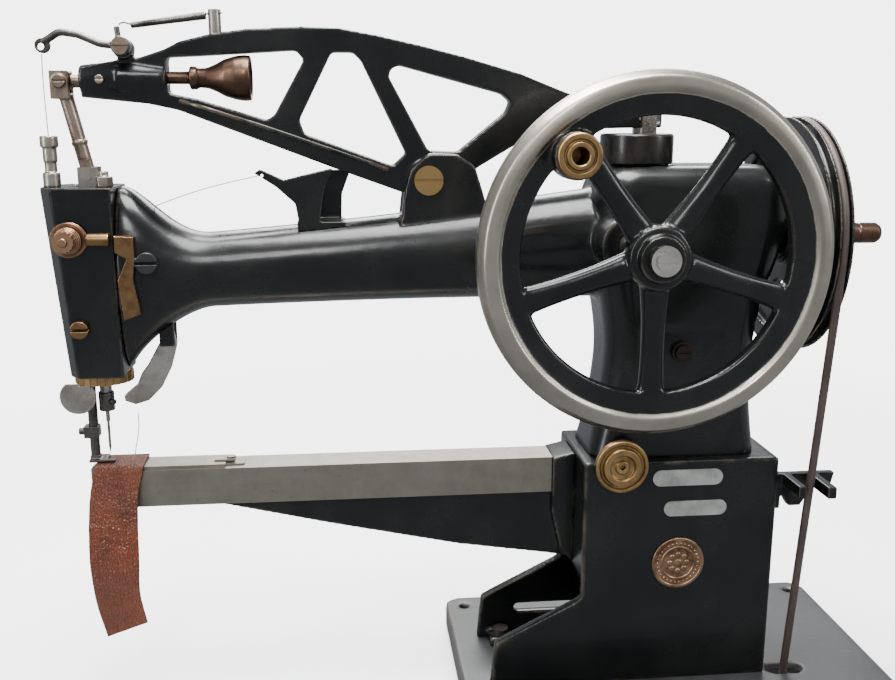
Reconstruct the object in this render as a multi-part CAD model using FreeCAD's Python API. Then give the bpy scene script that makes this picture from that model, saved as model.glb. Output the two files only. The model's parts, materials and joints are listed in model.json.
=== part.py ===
"""Cobbler's patching machine: a leather sewing machine with a slim lower arm.

Frame: millimetres, +X towards the belt pulley, -Y towards the flywheel side, +Z up.
The origin lies on the underside of the base plate, below the column.
"""
import FreeCAD, Part
import math
import os

V = FreeCAD.Vector
X_AXIS = V(1, 0, 0)
Y_AXIS = V(0, 1, 0)
Z_AXIS = V(0, 0, 1)

# ---- driving dimensions -----------------------------------------------------
RUNNING_FIT = 0.05

PLATE_X0, PLATE_X1 = -140.0, 172.0
PLATE_Y0, PLATE_Y1 = -105.0, 95.0
PLATE_TOP = 20.0
PLATE_SKIN = 6.0
PLATE_WALL = 6.0
PLATE_CORNER = 12.0
PLATE_HOLE_R = 4.0
PLATE_HOLE_INSET = 15.0
RIB_HALF = 5.0

BLOCK_X0, BLOCK_X1 = -57.0, 82.0
BLOCK_Y0, BLOCK_Y1 = -45.0, 35.0
BLOCK_TOP = 186.0
BLOCK_WALL = 8.0
FOOT_X0 = -121.0

SHAFT_Z = 338.0
WHEEL_X = -35.0
WHEEL_R = 108.0
WHEEL_Y0, WHEEL_Y1 = -123.0, -101.0
CROSS_SHAFT_R = 8.0
HANDLE_BOSS_DISTANCE = 79.0
HANDLE_BOSS_ANGLE = 131.0
HANDLE_BORE_R = 5.0
SPOKES = 5

MAIN_SHAFT_R = 7.0
PULLEY_X0, PULLEY_X1 = 87.5, 103.5
PULLEY_R = 82.0
BELT_X = 98.3
BELT_R = 2.75
BELT_WRAP_R = 79.0
BELT_SLOT_Y = 40.0
PEG_END_X = 164.0

NEEDLE_X = -383.0
PRESSER_X = NEEDLE_X - 10.0
NEEDLE_BAR_R = 4.0
PRESSER_BAR_R = 3.2
SLEEVE_R = 15.0
LIFTER_X, LIFTER_Z = -339.8, 271.0
HEAD_TOP = 375.0
HEAD_BOTTOM = 250.0

PIVOT_X, PIVOT_Z = -162.0, 378.0
PIVOT_PIN_R = 6.0
LEVER_HALF = 7.0
ROD_Z = 443.5
LINK_TOP = V(-396, 0, 441)
LINK_BOTTOM = V(NEEDLE_X, 0, 381)
TAKE_UP_X, TAKE_UP_Z = -355.0, 462.0
CAM_ROD_X = -12.0
CAM_ROD_R = 4.5

ARM_TOP = 181.0
ARM_BOTTOM = 155.0
ARM_HALF = 13.0
ARM_TIP_X = -396.0
ARM_ROOT_X = -73.0
SLIDE_TOP = 183.2
SHUTTLE_X = -369.0
SHUTTLE_R = 8.3
PINION_TEETH = 12
PINION_PITCH_R = 5.4

THREAD_R = 0.35

GEAR_TEETH = 16
GEAR_OUT = 16.0
GEAR_IN = 8.0


# ---- general helpers --------------------------------------------------------
def box(x0, x1, y0, y1, z0, z1):
    return Part.makeBox(x1 - x0, y1 - y0, z1 - z0, V(x0, y0, z0))


def rod(radius, start, end):
    axis = end.sub(start)
    return Part.makeCylinder(radius, axis.Length, start, axis)


def cone(radius_a, radius_b, start, end):
    axis = end.sub(start)
    return Part.makeCone(radius_a, radius_b, axis.Length, start, axis)


def tube(outer, inner, start, end):
    return rod(outer, start, end).cut(rod(inner, start, end))


def outline_wire(points):
    return Part.makePolygon(list(points) + [points[0]])


def plate_xz(points, y0, y1):
    """A flat plate whose outline is given as (x, z) points."""
    face = Part.Face(outline_wire([V(x, y0, z) for x, z in points]))
    return face.extrude(V(0, y1 - y0, 0))


def rounded_plate_xz(points, radius, y0, y1):
    """A flat plate with its upright corners rounded by one radius."""
    face = Part.Face(rounded_wire([V(x, y0, z) for x, z in points], radius, closed=True))
    return face.extrude(V(0, y1 - y0, 0))


def corner_arc(before, corner, after, radius):
    """Tangent arc at a corner: returns its start, middle and end."""
    u = before.sub(corner).normalize()
    w = after.sub(corner).normalize()
    half = u.getAngle(w) / 2
    reach = radius / math.tan(half)
    inward = u.add(w).normalize()
    centre = corner.add(inward * (radius / math.sin(half)))
    middle = centre.sub(inward * radius)
    return corner.add(u * reach), middle, corner.add(w * reach)


def rounded_wire(points, radius, closed):
    """Straight runs joined by tangent arcs. radius is a number or one value per corner."""
    count = len(points)
    corners = range(count) if closed else range(1, count - 1)
    arcs = {}
    for index in corners:
        size = radius if isinstance(radius, (int, float)) else radius[index]
        arcs[index] = corner_arc(points[index - 1], points[index], points[(index + 1) % count], size)
    edges = []
    spans = count if closed else count - 1
    for index in range(spans):
        following = (index + 1) % count
        start = arcs[index][2] if index in arcs else points[index]
        end = arcs[following][0] if following in arcs else points[following]
        edges.append(Part.LineSegment(start, end).toShape())
        if following in arcs:
            edges.append(Part.Arc(*arcs[following]).toShape())
    return Part.Wire(Part.__sortEdges__(edges))


def bend_radii(points):
    """Arc radius for each inner point of a route: as large as its two runs allow."""
    radii = [0.0] * len(points)
    for index in range(1, len(points) - 1):
        u = points[index - 1].sub(points[index])
        w = points[index + 1].sub(points[index])
        half_turn = (math.pi - u.getAngle(w)) / 2
        radii[index] = 0.45 * min(u.Length, w.Length) / math.tan(half_turn)
    return radii


def route_tube(points, radius):
    """A round tube along straight runs and tangent arcs."""
    path = rounded_wire(points, bend_radii(points), closed=False)
    direction = points[1].sub(points[0])
    profile = Part.Wire(Part.makeCircle(radius, points[0], direction))
    solid = path.makePipeShell([profile], True, False)
    return solid


def rounded_section(x0, x1, y0, y1, z, corner):
    """A level rounded rectangle, as one section of a loft."""
    points = [V(x0, y0, z), V(x1, y0, z), V(x1, y1, z), V(x0, y1, z)]
    return rounded_wire(points, corner, closed=True)


def ellipse_section(x, half_y, half_z, centre_z):
    """An upright ellipse across the arm, as one section of a loft."""
    steps = 24
    points = []
    for index in range(steps):
        angle = 2 * math.pi * index / steps
        points.append(V(x, half_y * math.cos(angle), centre_z + half_z * math.sin(angle)))
    curve = Part.BSplineCurve()
    curve.interpolate(points, PeriodicFlag=True)
    return Part.Wire(curve.toShape())


def slotted_head(x, y, z, radius, height):
    """A round slotted screw head that stands out towards -Y from the point given."""
    head = rod(radius, V(x, y, z), V(x, y - height, z))
    slot = box(x - radius, x + radius, y - height - 1, y - height * 0.6, z - radius * 0.12, z + radius * 0.12)
    return head.cut(slot)


def fused(shapes):
    first = shapes[0]
    return first.multiFuse(shapes[1:]).removeSplitter() if len(shapes) > 1 else first


def save(name, shape):
    shape.exportStep("parts/%s.step" % name)
    print("%-20s %8.1f cm3  %d solid(s)" % (name, shape.Volume / 1000, len(shape.Solids)))


# ---- base -------------------------------------------------------------------
def plate_hole_places():
    for x in (PLATE_X0 + PLATE_HOLE_INSET, PLATE_X1 - PLATE_HOLE_INSET):
        for y in (PLATE_Y0 + PLATE_HOLE_INSET, PLATE_Y1 - PLATE_HOLE_INSET):
            yield x, y


def base_plate():
    outline = rounded_section(PLATE_X0, PLATE_X1, PLATE_Y0, PLATE_Y1, 0, PLATE_CORNER)
    plate = Part.Face(outline).extrude(V(0, 0, PLATE_TOP))
    plate = plate.cut(box(PLATE_X0 + PLATE_WALL, PLATE_X1 - PLATE_WALL, PLATE_Y0 + PLATE_WALL,
                          PLATE_Y1 - PLATE_WALL, -1, PLATE_TOP - PLATE_SKIN))
    plate = plate.fuse(box(-RIB_HALF, RIB_HALF, PLATE_Y0 + 1, PLATE_Y1 - 1, 0, PLATE_TOP - 1))
    for x, y in plate_hole_places():
        boss = rod(PLATE_HOLE_R + 4.3, V(x, y, 0), V(x, y, PLATE_TOP))
        plate = plate.fuse(boss)
    for x, y in plate_hole_places():
        plate = plate.cut(rod(PLATE_HOLE_R, V(x, y, -1), V(x, y, PLATE_TOP + 1)))
    for side in (-1, 1):
        slot = rounded_section(BELT_X - 13, BELT_X + 15, side * BELT_SLOT_Y - 7,
                               side * BELT_SLOT_Y + 7, -1, 6.9)
        plate = plate.cut(Part.Face(slot).extrude(V(0, 0, PLATE_TOP + 2)))
    return plate.removeSplitter()


def base_lug_places():
    for x in (-104, 60):
        for y in (BLOCK_Y0 + BLOCK_WALL + 8, BLOCK_Y1 - BLOCK_WALL - 8):
            yield x, y


def base_block():
    boot = [(BLOCK_X0, BLOCK_TOP), (BLOCK_X1, BLOCK_TOP), (BLOCK_X1, PLATE_TOP), (FOOT_X0, PLATE_TOP),
            (FOOT_X0 + 3, 54), (BLOCK_X0, 85)]
    block = plate_xz(boot, BLOCK_Y0, BLOCK_Y1)
    inner_y0 = BLOCK_Y0 + BLOCK_WALL
    inner_y1 = BLOCK_Y1 - BLOCK_WALL
    chamber = box(BLOCK_X0 + BLOCK_WALL, BLOCK_X1 - BLOCK_WALL, inner_y0, inner_y1,
                  PLATE_TOP - 1, BLOCK_TOP - BLOCK_WALL)
    tunnel = box(FOOT_X0 - 5, BLOCK_X0 + BLOCK_WALL + 1, inner_y0, inner_y1, PLATE_TOP - 1, 98)
    rear_slot = box(-92, -40, BLOCK_Y1 - BLOCK_WALL - 1, BLOCK_Y1 + 1, 40, 47)
    block = block.cut(chamber).cut(tunnel).cut(rear_slot)
    lugs = []
    for x, y in base_lug_places():
        lugs.append(box(x - 9, x + 9, y - 8, y + 8, PLATE_TOP, PLATE_TOP + 7))
    return fused([block] + lugs)


def base_bolts():
    bolts = []
    for x, y in base_lug_places():
        bolts.append(rod(6, V(x, y, PLATE_TOP + 7), V(x, y, PLATE_TOP + 12)))
    return Part.makeCompound(bolts)


def face_plate(x0, x1, z0, z1):
    """A thin plate with rounded ends and its two rivets, on the front of the block."""
    half = (z1 - z0) / 2
    middle = (z0 + z1) / 2
    body = box(x0 + half, x1 - half, BLOCK_Y0 - 1.2, BLOCK_Y0, z0, z1)
    ends = [rod(half, V(x, BLOCK_Y0, middle), V(x, BLOCK_Y0 - 1.2, middle)) for x in (x0 + half, x1 - half)]
    rivets = [rod(1.4, V(x, BLOCK_Y0, middle), V(x, BLOCK_Y0 - 2.0, middle)) for x in (x0 + 4.5, x1 - 4.5)]
    return fused([body] + ends + rivets)


def badge():
    return rod(19, V(12, BLOCK_Y0, 110.5), V(12, BLOCK_Y0 - 1.4, 110.5))


def bearing_disc():
    """Ringed brass bearing disc at the top edge of the block."""
    x, z = -32, 184.5
    disc = rod(18.6, V(x, BLOCK_Y0, z), V(x, BLOCK_Y0 - 4, z))
    collar = rod(14, V(x, BLOCK_Y0 - 4, z), V(x, BLOCK_Y0 - 7, z))
    groove = tube(11.5, 9.5, V(x, BLOCK_Y0 - 6, z), V(x, BLOCK_Y0 - 8, z))
    return disc.fuse(collar).cut(groove).cut(rod(7.05, V(x, BLOCK_Y0 - 1, z), V(x, BLOCK_Y0 - 8, z)))


def bearing_screw():
    return slotted_head(-32, BLOCK_Y0 - 1, 184.5, 7.0, 7.5)


def belt_guide():
    """Cast fork on the right-hand side of the block, with the belt between its prongs."""
    lug = box(BLOCK_X1, BLOCK_X1 + 5, -40, -14, 146, 172)
    arm = plate_xz([(BLOCK_X1 + 5, 172), (BLOCK_X1 + 5, 158), (93, 148), (102, 148), (112, 164), (124, 164),
                    (126, 172)], -40, -34)
    outer = box(107, 113, -70, -38, 164, 172)
    inner = box(88, 93.5, -66, -38, 164, 172)
    return fused([lug, arm, outer, inner])


# ---- lower arm --------------------------------------------------------------
def lower_arm():
    rib = plate_xz([(BLOCK_X0, 183), (ARM_ROOT_X, ARM_TOP), (ARM_ROOT_X, ARM_BOTTOM), (-306, ARM_BOTTOM),
                    (-308, 152.5), (-230, 134), (-140, 114.5), (-72, 104), (BLOCK_X0, 101)], -7, 7)
    end = plate_xz([(BLOCK_X0, 184.5), (ARM_ROOT_X, ARM_TOP), (ARM_ROOT_X, 140), (-66, 110),
                    (BLOCK_X0, 101)], -16, 16)
    return fused([rib, end])


def arm_tube():
    outline = rounded_wire([V(ARM_TIP_X, -ARM_HALF, ARM_BOTTOM), V(ARM_ROOT_X, -ARM_HALF, ARM_BOTTOM),
                            V(ARM_ROOT_X, ARM_HALF, ARM_BOTTOM), V(ARM_TIP_X, ARM_HALF, ARM_BOTTOM)],
                           [9, 0.5, 0.5, 9], closed=True)
    bar = Part.Face(outline).extrude(V(0, 0, ARM_TOP - ARM_BOTTOM))
    bar = bar.cut(box(ARM_TIP_X + 5, ARM_ROOT_X - 4, -9.5, 9.5, ARM_BOTTOM + 3.5, ARM_TOP - 3))
    bar = bar.cut(box(-391, -331, -9.5, 9.5, ARM_TOP - 4, ARM_TOP + 1))
    return bar


def needle_plate():
    plate = box(-393, -372.5, -10.5, 10.5, ARM_TOP, SLIDE_TOP)
    plate = plate.fuse(box(-390.7, -372.5, -9.2, 9.2, ARM_TOP - 2.5, ARM_TOP)).removeSplitter()
    return plate.cut(rod(1.8, V(NEEDLE_X, 0, ARM_TOP - 5), V(NEEDLE_X, 0, ARM_TOP + 5)))


def slide_plate():
    plate = box(-372.2, -304, -10.5, 10.5, ARM_TOP + 0.05, SLIDE_TOP)
    return plate.fuse(box(-304, -291, -7, 7, ARM_TOP + 0.05, SLIDE_TOP - 0.9)).removeSplitter()


def slide_latch():
    bar = box(-312, -298, -4.5, 4.5, SLIDE_TOP, SLIDE_TOP + 1.4)
    return bar.fuse(rod(3, V(-301, 0, SLIDE_TOP), V(-301, 0, SLIDE_TOP + 2.6))).removeSplitter()


def shuttle():
    body = rod(SHUTTLE_R, V(SHUTTLE_X, 0, 165.2), V(SHUTTLE_X, 0, 176.5))
    bobbin_well = rod(5.6, V(SHUTTLE_X, 0, 168), V(SHUTTLE_X, 0, 178))
    hook_gap = box(SHUTTLE_X - 9, SHUTTLE_X - 3, 4, 9, 169, 178)
    return body.cut(bobbin_well).cut(hook_gap)


def bobbin():
    reel = rod(5.2, V(SHUTTLE_X, 0, 168), V(SHUTTLE_X, 0, 175.5))
    return reel.cut(tube(6, 2.4, V(SHUTTLE_X, 0, 169.2), V(SHUTTLE_X, 0, 174.3)))


def shuttle_pinion():
    z0, z1 = 159.2, 165.2
    core = rod(PINION_PITCH_R - 1.1, V(SHUTTLE_X, 0, z0), V(SHUTTLE_X, 0, z1))
    tooth = box(0, PINION_PITCH_R + 0.8, -0.55, 0.55, 0, z1 - z0)
    teeth = []
    for index in range(PINION_TEETH):
        copy = tooth.copy()
        copy.rotate(V(0, 0, 0), Z_AXIS, 360.0 * index / PINION_TEETH)
        copy.translate(V(SHUTTLE_X, 0, z0))
        teeth.append(copy)
    return fused([core] + teeth)


def shuttle_rack():
    pitch = 2 * math.pi * PINION_PITCH_R / PINION_TEETH
    z0, z1 = 159.5, 164.5
    bar = box(-384, -90, PINION_PITCH_R + 1.2, 9.2, z0, z1)
    teeth = []
    for index in range(-3, 4):
        x = SHUTTLE_X + (index + 0.5) * pitch
        teeth.append(box(x - 0.5, x + 0.5, PINION_PITCH_R - 0.6, PINION_PITCH_R + 1.3, z0, z1))
    return fused([bar] + teeth)


# ---- column, upper arm and cap ---------------------------------------------
def column_body():
    sections = [(BLOCK_TOP, -50, 70, -36, 30, 14), (205, -46, 69, -35, 30, 18), (235, -41, 67, -34, 31, 20),
                (262, -39, 67, -35, 32, 20), (300, -44, 73, -38, 36, 22), (338, -50, 83, -40, 40, 22),
                (368, -50, 84, -40, 40, 22)]
    wires = [rounded_section(x0, x1, y0, y1, z, corner) for z, x0, x1, y0, y1, corner in sections]
    lower = Part.makeLoft(wires, True, False)
    crown = Part.makeLoft([wires[-1], rounded_section(-44, 78, -36, 36, 381, 20),
                           rounded_section(-34, 66, -27, 27, 387, 18)], True, False)
    return lower.fuse(crown)


def upper_arm():
    """Tapering round arm that opens into the bell behind the head."""
    neck = (-306, 25, 25.2, 318.6)
    taper = [(-10, 34, 41, 336), (-110, 29.8, 33.5, 330), (-210, 26.8, 28.3, 324), neck]
    bell = [neck, (-321, 25.5, 28.5, 317.8), (-336, 26.3, 37.5, 318.4), (-350, 27, 49, 319),
            (-365, 26.5, 62, 313)]
    lofts = []
    for run in (taper, bell):
        lofts.append(Part.makeLoft([ellipse_section(*values) for values in run], True, False))
    return lofts[0].fuse(lofts[1])


def pivot_ears():
    ears = []
    ear = [(-182, 335), (-178, 371), (-174, 385), (-162, 396), (-143, 395), (-131, 388), (-125, 369),
           (-116, 335)]
    for y0, y1 in ((-18, -LEVER_HALF - 2), (LEVER_HALF + 2, 18)):
        ears.append(rounded_plate_xz(ear, [4, 9, 8, 8, 8, 8, 9, 4], y0, y1))
    return ears


def arm_casting():
    """Column and upper arm: one casting with the gear chamber and shaft bores inside."""
    front_boss = rod(19, V(WHEEL_X, -30, SHAFT_Z), V(WHEEL_X, -58, SHAFT_Z))
    right_boss = rod(15, V(60, 0, SHAFT_Z), V(86.5, 0, SHAFT_Z))
    casting = fused([column_body(), upper_arm(), front_boss, right_boss] + pivot_ears())
    chamber = box(-57, 0, -24, 24, 318, 358)
    cross_bore = rod(CROSS_SHAFT_R + RUNNING_FIT, V(WHEEL_X, -60, SHAFT_Z), V(WHEEL_X, 0, SHAFT_Z))
    main_bore = rod(MAIN_SHAFT_R + RUNNING_FIT, V(0, 0, SHAFT_Z), V(90, 0, SHAFT_Z))
    pin_bore = rod(PIVOT_PIN_R + RUNNING_FIT, V(PIVOT_X, -20, PIVOT_Z), V(PIVOT_X, 20, PIVOT_Z))
    cap_seat = rod(26, V(-17, 0, 376), V(-17, 0, 400))
    cam_well = rod(CAM_ROD_R + 2, V(CAM_ROD_X, 0, 355), V(CAM_ROD_X, 0, 380))
    front_pad = box(-20, 40, -60, -34.5, 245, 279)
    for tool in (chamber, cross_bore, main_bore, pin_bore, cap_seat, cam_well, front_pad, head_seat()):
        casting = casting.cut(tool)
    return casting.removeSplitter()


def head_seat():
    return box(-420, -364.9, -60, 60, 200, 420)


def top_cap():
    step = rod(20.5, V(-17, 0, 376), V(-17, 0, 388))
    drum = rod(25, V(-17, 0, 388), V(-17, 0, 407))
    rim = tube(25.01, 23, V(-17, 0, 405), V(-17, 0, 408))
    bore = rod(CAM_ROD_R + RUNNING_FIT, V(CAM_ROD_X, 0, 370), V(CAM_ROD_X, 0, 410))
    fork_recess = box(CAM_ROD_X - 6.5, CAM_ROD_X + 6.5, -13.5, 13.5, 397.5, 410)
    return drum.fuse(step).cut(rim).cut(bore).cut(fork_recess)


def oil_plug():
    seat = rod(7, V(10, -34.5, 262), V(10, -38, 262))
    return seat.fuse(slotted_head(10, -38, 262, 5, 2.5))


def thread_guide(casting):
    """Fish-tail thread guide that stands on the upper arm."""
    front = [(-276, 383), (-272, 385.5), (-257, 378.5), (-243, 382), (-225, 386), (-231, 372), (-235, 345),
             (-247, 345), (-250, 363), (-262, 374)]
    back = [(-243, 345), (-240, 366), (-231, 384), (-213, 384), (-219, 368), (-220, 345)]
    foot = box(-249, -217, -14, 14, 332, 351)
    guide = fused([plate_xz(front, -14, -9.5), plate_xz(back, 9.5, 14), foot])
    eye = rod(1.2, V(-271, -20, 381.5), V(-271, 0, 381.5))
    return guide.cut(eye).cut(casting)


# ---- drive ------------------------------------------------------------------
def wheel_point(distance, degrees, y):
    angle = math.radians(degrees)
    return V(WHEEL_X + distance * math.cos(angle), y, SHAFT_Z + distance * math.sin(angle))


def wheel_rim():
    """Convex polished rim with a deep inner flange, turned about the wheel's axis."""
    middle = (WHEEL_Y0 + WHEEL_Y1) / 2
    section = [V(82, middle - 4, 0), V(94, WHEEL_Y0 + 3, 0), V(97, WHEEL_Y0, 0), V(104, WHEEL_Y0 + 1.5, 0),
               V(WHEEL_R, middle - 3, 0), V(WHEEL_R, middle + 3, 0), V(104, WHEEL_Y1 - 1.5, 0),
               V(97, WHEEL_Y1, 0), V(94, WHEEL_Y1 - 3, 0), V(82, middle + 4, 0)]
    face = Part.Face(outline_wire(section))
    ring = face.revolve(V(0, 0, 0), Y_AXIS, 360)
    ring.translate(V(WHEEL_X, 0, SHAFT_Z))
    return ring


def wheel_spoke(degrees):
    """Oval spoke, broad at the hub and narrowing outwards."""
    wires = []
    for distance, half_width, half_depth in ((10, 10.5, 8), (45, 7.4, 6), (86, 9, 5)):
        ring = []
        for index in range(20):
            angle = 2 * math.pi * index / 20
            ring.append(V(half_width * math.cos(angle), half_depth * math.sin(angle), distance))
        curve = Part.BSplineCurve()
        curve.interpolate(ring, PeriodicFlag=True)
        wires.append(Part.Wire(curve.toShape()))
    spoke = Part.makeLoft(wires, True, False)
    spoke.rotate(V(0, 0, 0), Y_AXIS, 90 - degrees)
    spoke.translate(V(WHEEL_X, (WHEEL_Y0 + WHEEL_Y1) / 2 + 1, SHAFT_Z))
    return spoke


def flywheel():
    hub = fused([rod(14, wheel_point(0, 0, -126), wheel_point(0, 0, -112)),
                 rod(19, wheel_point(0, 0, -121), wheel_point(0, 0, -100)),
                 cone(19, 14, wheel_point(0, 0, -100), wheel_point(0, 0, -84))])
    handle_boss = rod(14, wheel_point(HANDLE_BOSS_DISTANCE, HANDLE_BOSS_ANGLE, -126),
                      wheel_point(HANDLE_BOSS_DISTANCE, HANDLE_BOSS_ANGLE, -106))
    spokes = [wheel_spoke(270 + 360.0 * index / SPOKES) for index in range(SPOKES)]
    wheel = fused([wheel_rim(), hub, handle_boss] + spokes)
    shaft_hole = rod(CROSS_SHAFT_R + 0.06, wheel_point(0, 0, -130), wheel_point(0, 0, -80))
    bush_hole = rod(10.58, wheel_point(HANDLE_BOSS_DISTANCE, HANDLE_BOSS_ANGLE, -130),
                    wheel_point(HANDLE_BOSS_DISTANCE, HANDLE_BOSS_ANGLE, -100))
    return wheel.cut(shaft_hole).cut(bush_hole)


def handle_bush():
    """Open brass socket that takes the winding handle."""
    start = wheel_point(HANDLE_BOSS_DISTANCE, HANDLE_BOSS_ANGLE, -131)
    shoulder = wheel_point(HANDLE_BOSS_DISTANCE, HANDLE_BOSS_ANGLE, -126)
    end = wheel_point(HANDLE_BOSS_DISTANCE, HANDLE_BOSS_ANGLE, -107)
    return fused([rod(13, start, shoulder), rod(10.5, shoulder, end)]).cut(rod(HANDLE_BORE_R, start, end))


def hub_bolt():
    nut = rod(9, V(WHEEL_X, -131, SHAFT_Z), V(WHEEL_X, -126, SHAFT_Z))
    return nut.fuse(slotted_head(WHEEL_X, -131, SHAFT_Z, 6, 2.2)).removeSplitter()


def cross_shaft():
    return rod(CROSS_SHAFT_R, V(WHEEL_X, -126, SHAFT_Z), V(WHEEL_X, -GEAR_OUT, SHAFT_Z))


def main_shaft():
    return rod(MAIN_SHAFT_R, V(WHEEL_X + GEAR_OUT, 0, SHAFT_Z), V(104, 0, SHAFT_Z))


def shaft_peg():
    peg = rod(7.4, V(104, 0, SHAFT_Z), V(PEG_END_X - 3, 0, SHAFT_Z))
    tip = cone(7.4, 5.5, V(PEG_END_X - 3, 0, SHAFT_Z), V(PEG_END_X, 0, SHAFT_Z))
    groove = tube(9, 6.9, V(147, 0, SHAFT_Z), V(148.2, 0, SHAFT_Z))
    return peg.fuse(tip).removeSplitter().cut(groove)


def stroke_cam():
    """Eccentric on the main shaft that lifts the cam rod."""
    disc = rod(13, V(-18, 0, SHAFT_Z - 1.5), V(-6, 0, SHAFT_Z - 1.5))
    return disc.cut(rod(MAIN_SHAFT_R + 0.02, V(-20, 0, SHAFT_Z), V(0, 0, SHAFT_Z)))


def gear_quad(z, root, tip, half_root, half_tip):
    """Corners of one bevel tooth at height z of a 45 degree cone."""
    corners = []
    for radius, half in ((root, -half_root), (tip, -half_tip), (tip, half_tip), (root, half_root)):
        angle = math.radians(half)
        corners.append(V(radius * z * math.cos(angle), radius * z * math.sin(angle), z))
    return outline_wire(corners)


def mitre_gear(first_tooth):
    """Bevel gear with its apex at the origin and its axis along +Z."""
    blank = Part.makeCone(0.86 * GEAR_IN, 0.86 * GEAR_OUT, GEAR_OUT - GEAR_IN, V(0, 0, GEAR_IN), Z_AXIS)
    tooth = Part.makeLoft([gear_quad(z, 0.84, 1.06, 5.0, 2.6) for z in (GEAR_IN, GEAR_OUT)], True, True)
    teeth = []
    for index in range(GEAR_TEETH):
        copy = tooth.copy()
        copy.rotate(V(0, 0, 0), Z_AXIS, first_tooth + 360.0 * index / GEAR_TEETH)
        teeth.append(copy)
    return fused([blank] + teeth)


def place_gear(gear, axis, contact):
    """Turn a gear so that +Z becomes axis and +X becomes the contact direction."""
    third = axis.cross(contact)
    matrix = FreeCAD.Matrix(contact.x, third.x, axis.x, WHEEL_X, contact.y, third.y, axis.y, 0,
                            contact.z, third.z, axis.z, SHAFT_Z, 0, 0, 0, 1)
    return gear.transformGeometry(matrix)


def wheel_gear():
    return place_gear(mitre_gear(0), V(0, -1, 0), V(1, 0, 0))


def pulley_gear():
    return place_gear(mitre_gear(180.0 / GEAR_TEETH), V(1, 0, 0), V(0, -1, 0))


def ring_about_x(x, outer, inner, half_width):
    return tube(outer, inner, V(x - half_width, 0, SHAFT_Z), V(x + half_width, 0, SHAFT_Z))


def round_groove(x, radius):
    """The space of a round-bottomed belt groove."""
    torus = Part.makeTorus(BELT_WRAP_R, radius, V(x, 0, SHAFT_Z), X_AXIS)
    return torus.fuse(ring_about_x(x, PULLEY_R + 2, BELT_WRAP_R, radius))


def pulley():
    axis0 = V(PULLEY_X0, 0, SHAFT_Z)
    axis1 = V(PULLEY_X1, 0, SHAFT_Z)
    wheel = rod(PULLEY_R, axis0, axis1)
    wheel = wheel.cut(tube(69, 20, axis0, V(PULLEY_X0 + 4.5, 0, SHAFT_Z)))
    wheel = wheel.cut(tube(69, 20, V(PULLEY_X1 - 4.5, 0, SHAFT_Z), axis1))
    wheel = wheel.cut(round_groove(BELT_X, BELT_R + 0.5)).cut(round_groove(91.3, 2.6))
    for index in range(6):
        angle = math.radians(60 * index + 30)
        y = 45 * math.cos(angle)
        z = SHAFT_Z + 45 * math.sin(angle)
        wheel = wheel.cut(rod(13, V(PULLEY_X0 - 1, y, z), V(PULLEY_X1 + 1, y, z)))
    return wheel.cut(rod(MAIN_SHAFT_R + 0.02, axis0, axis1))


def belt_route():
    """Up the front strand, over the pulley and down the rear strand."""
    lowest = 6.0
    drop = SHAFT_Z - lowest
    slant = math.hypot(BELT_SLOT_Y, drop)
    first = math.asin(BELT_WRAP_R / slant) - math.atan2(BELT_SLOT_Y, drop)
    steps = 6
    turn = (math.pi + 2 * first) / steps
    start = math.pi + first
    points = [V(BELT_X, -BELT_SLOT_Y, lowest)]
    for index in range(steps):
        angle = start - (index + 0.5) * turn
        reach = BELT_WRAP_R / math.cos(turn / 2)
        points.append(V(BELT_X, reach * math.cos(angle), SHAFT_Z + reach * math.sin(angle)))
    points.append(V(BELT_X, BELT_SLOT_Y, lowest))
    return points


def belt():
    points = belt_route()
    radii = bend_radii(points)
    print("belt points", [(round(p.y, 1), round(p.z, 1)) for p in points])
    print("belt radii", [round(value, 1) for value in radii[1:-1]])
    return route_tube(points, BELT_R)


def belt_hooks():
    """Wire hooks that close the belt's two ends below the plate."""
    hooks = []
    for side in (-1, 1):
        y = side * BELT_SLOT_Y
        hooks.append(box(BELT_X - 4, BELT_X + 4, y - 4, y + 4, 2.5, 5.7))
    return Part.makeCompound(hooks)


# ---- needle lever and what it carries --------------------------------------
LEVER_TOP = [(-383, 449), (-364, 453.5), (-345, 456), (-330, 461), (-320, 466), (-300, 471), (-279, 474),
             (-243, 476), (-218, 475), (-195, 471), (-167, 465), (-138, 458), (-99, 447), (-68, 435),
             (-40, 427), (-2, 426)]
LEVER_LOW = [(-2, 412), (-30, 411.6), (-62, 411), (-98, 403), (-127, 386), (-148, 371), (-162, 366),
             (-178, 369), (-225, 386), (-323, 423), (-342, 427), (-383, 431)]
WINDOW_A = [(-329, 456), (-310, 457), (-247, 461), (-242, 455), (-262, 420), (-267, 417), (-310, 430),
            (-329, 434)]
WINDOW_B = [(-224, 460), (-210, 460), (-205, 455), (-179, 401), (-176, 395), (-185, 387), (-243, 408),
            (-246, 417)]
WINDOW_C = [(-185, 450), (-180, 452), (-112, 434), (-106, 429), (-109, 422), (-141, 396), (-161, 397),
            (-187, 445)]


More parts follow.
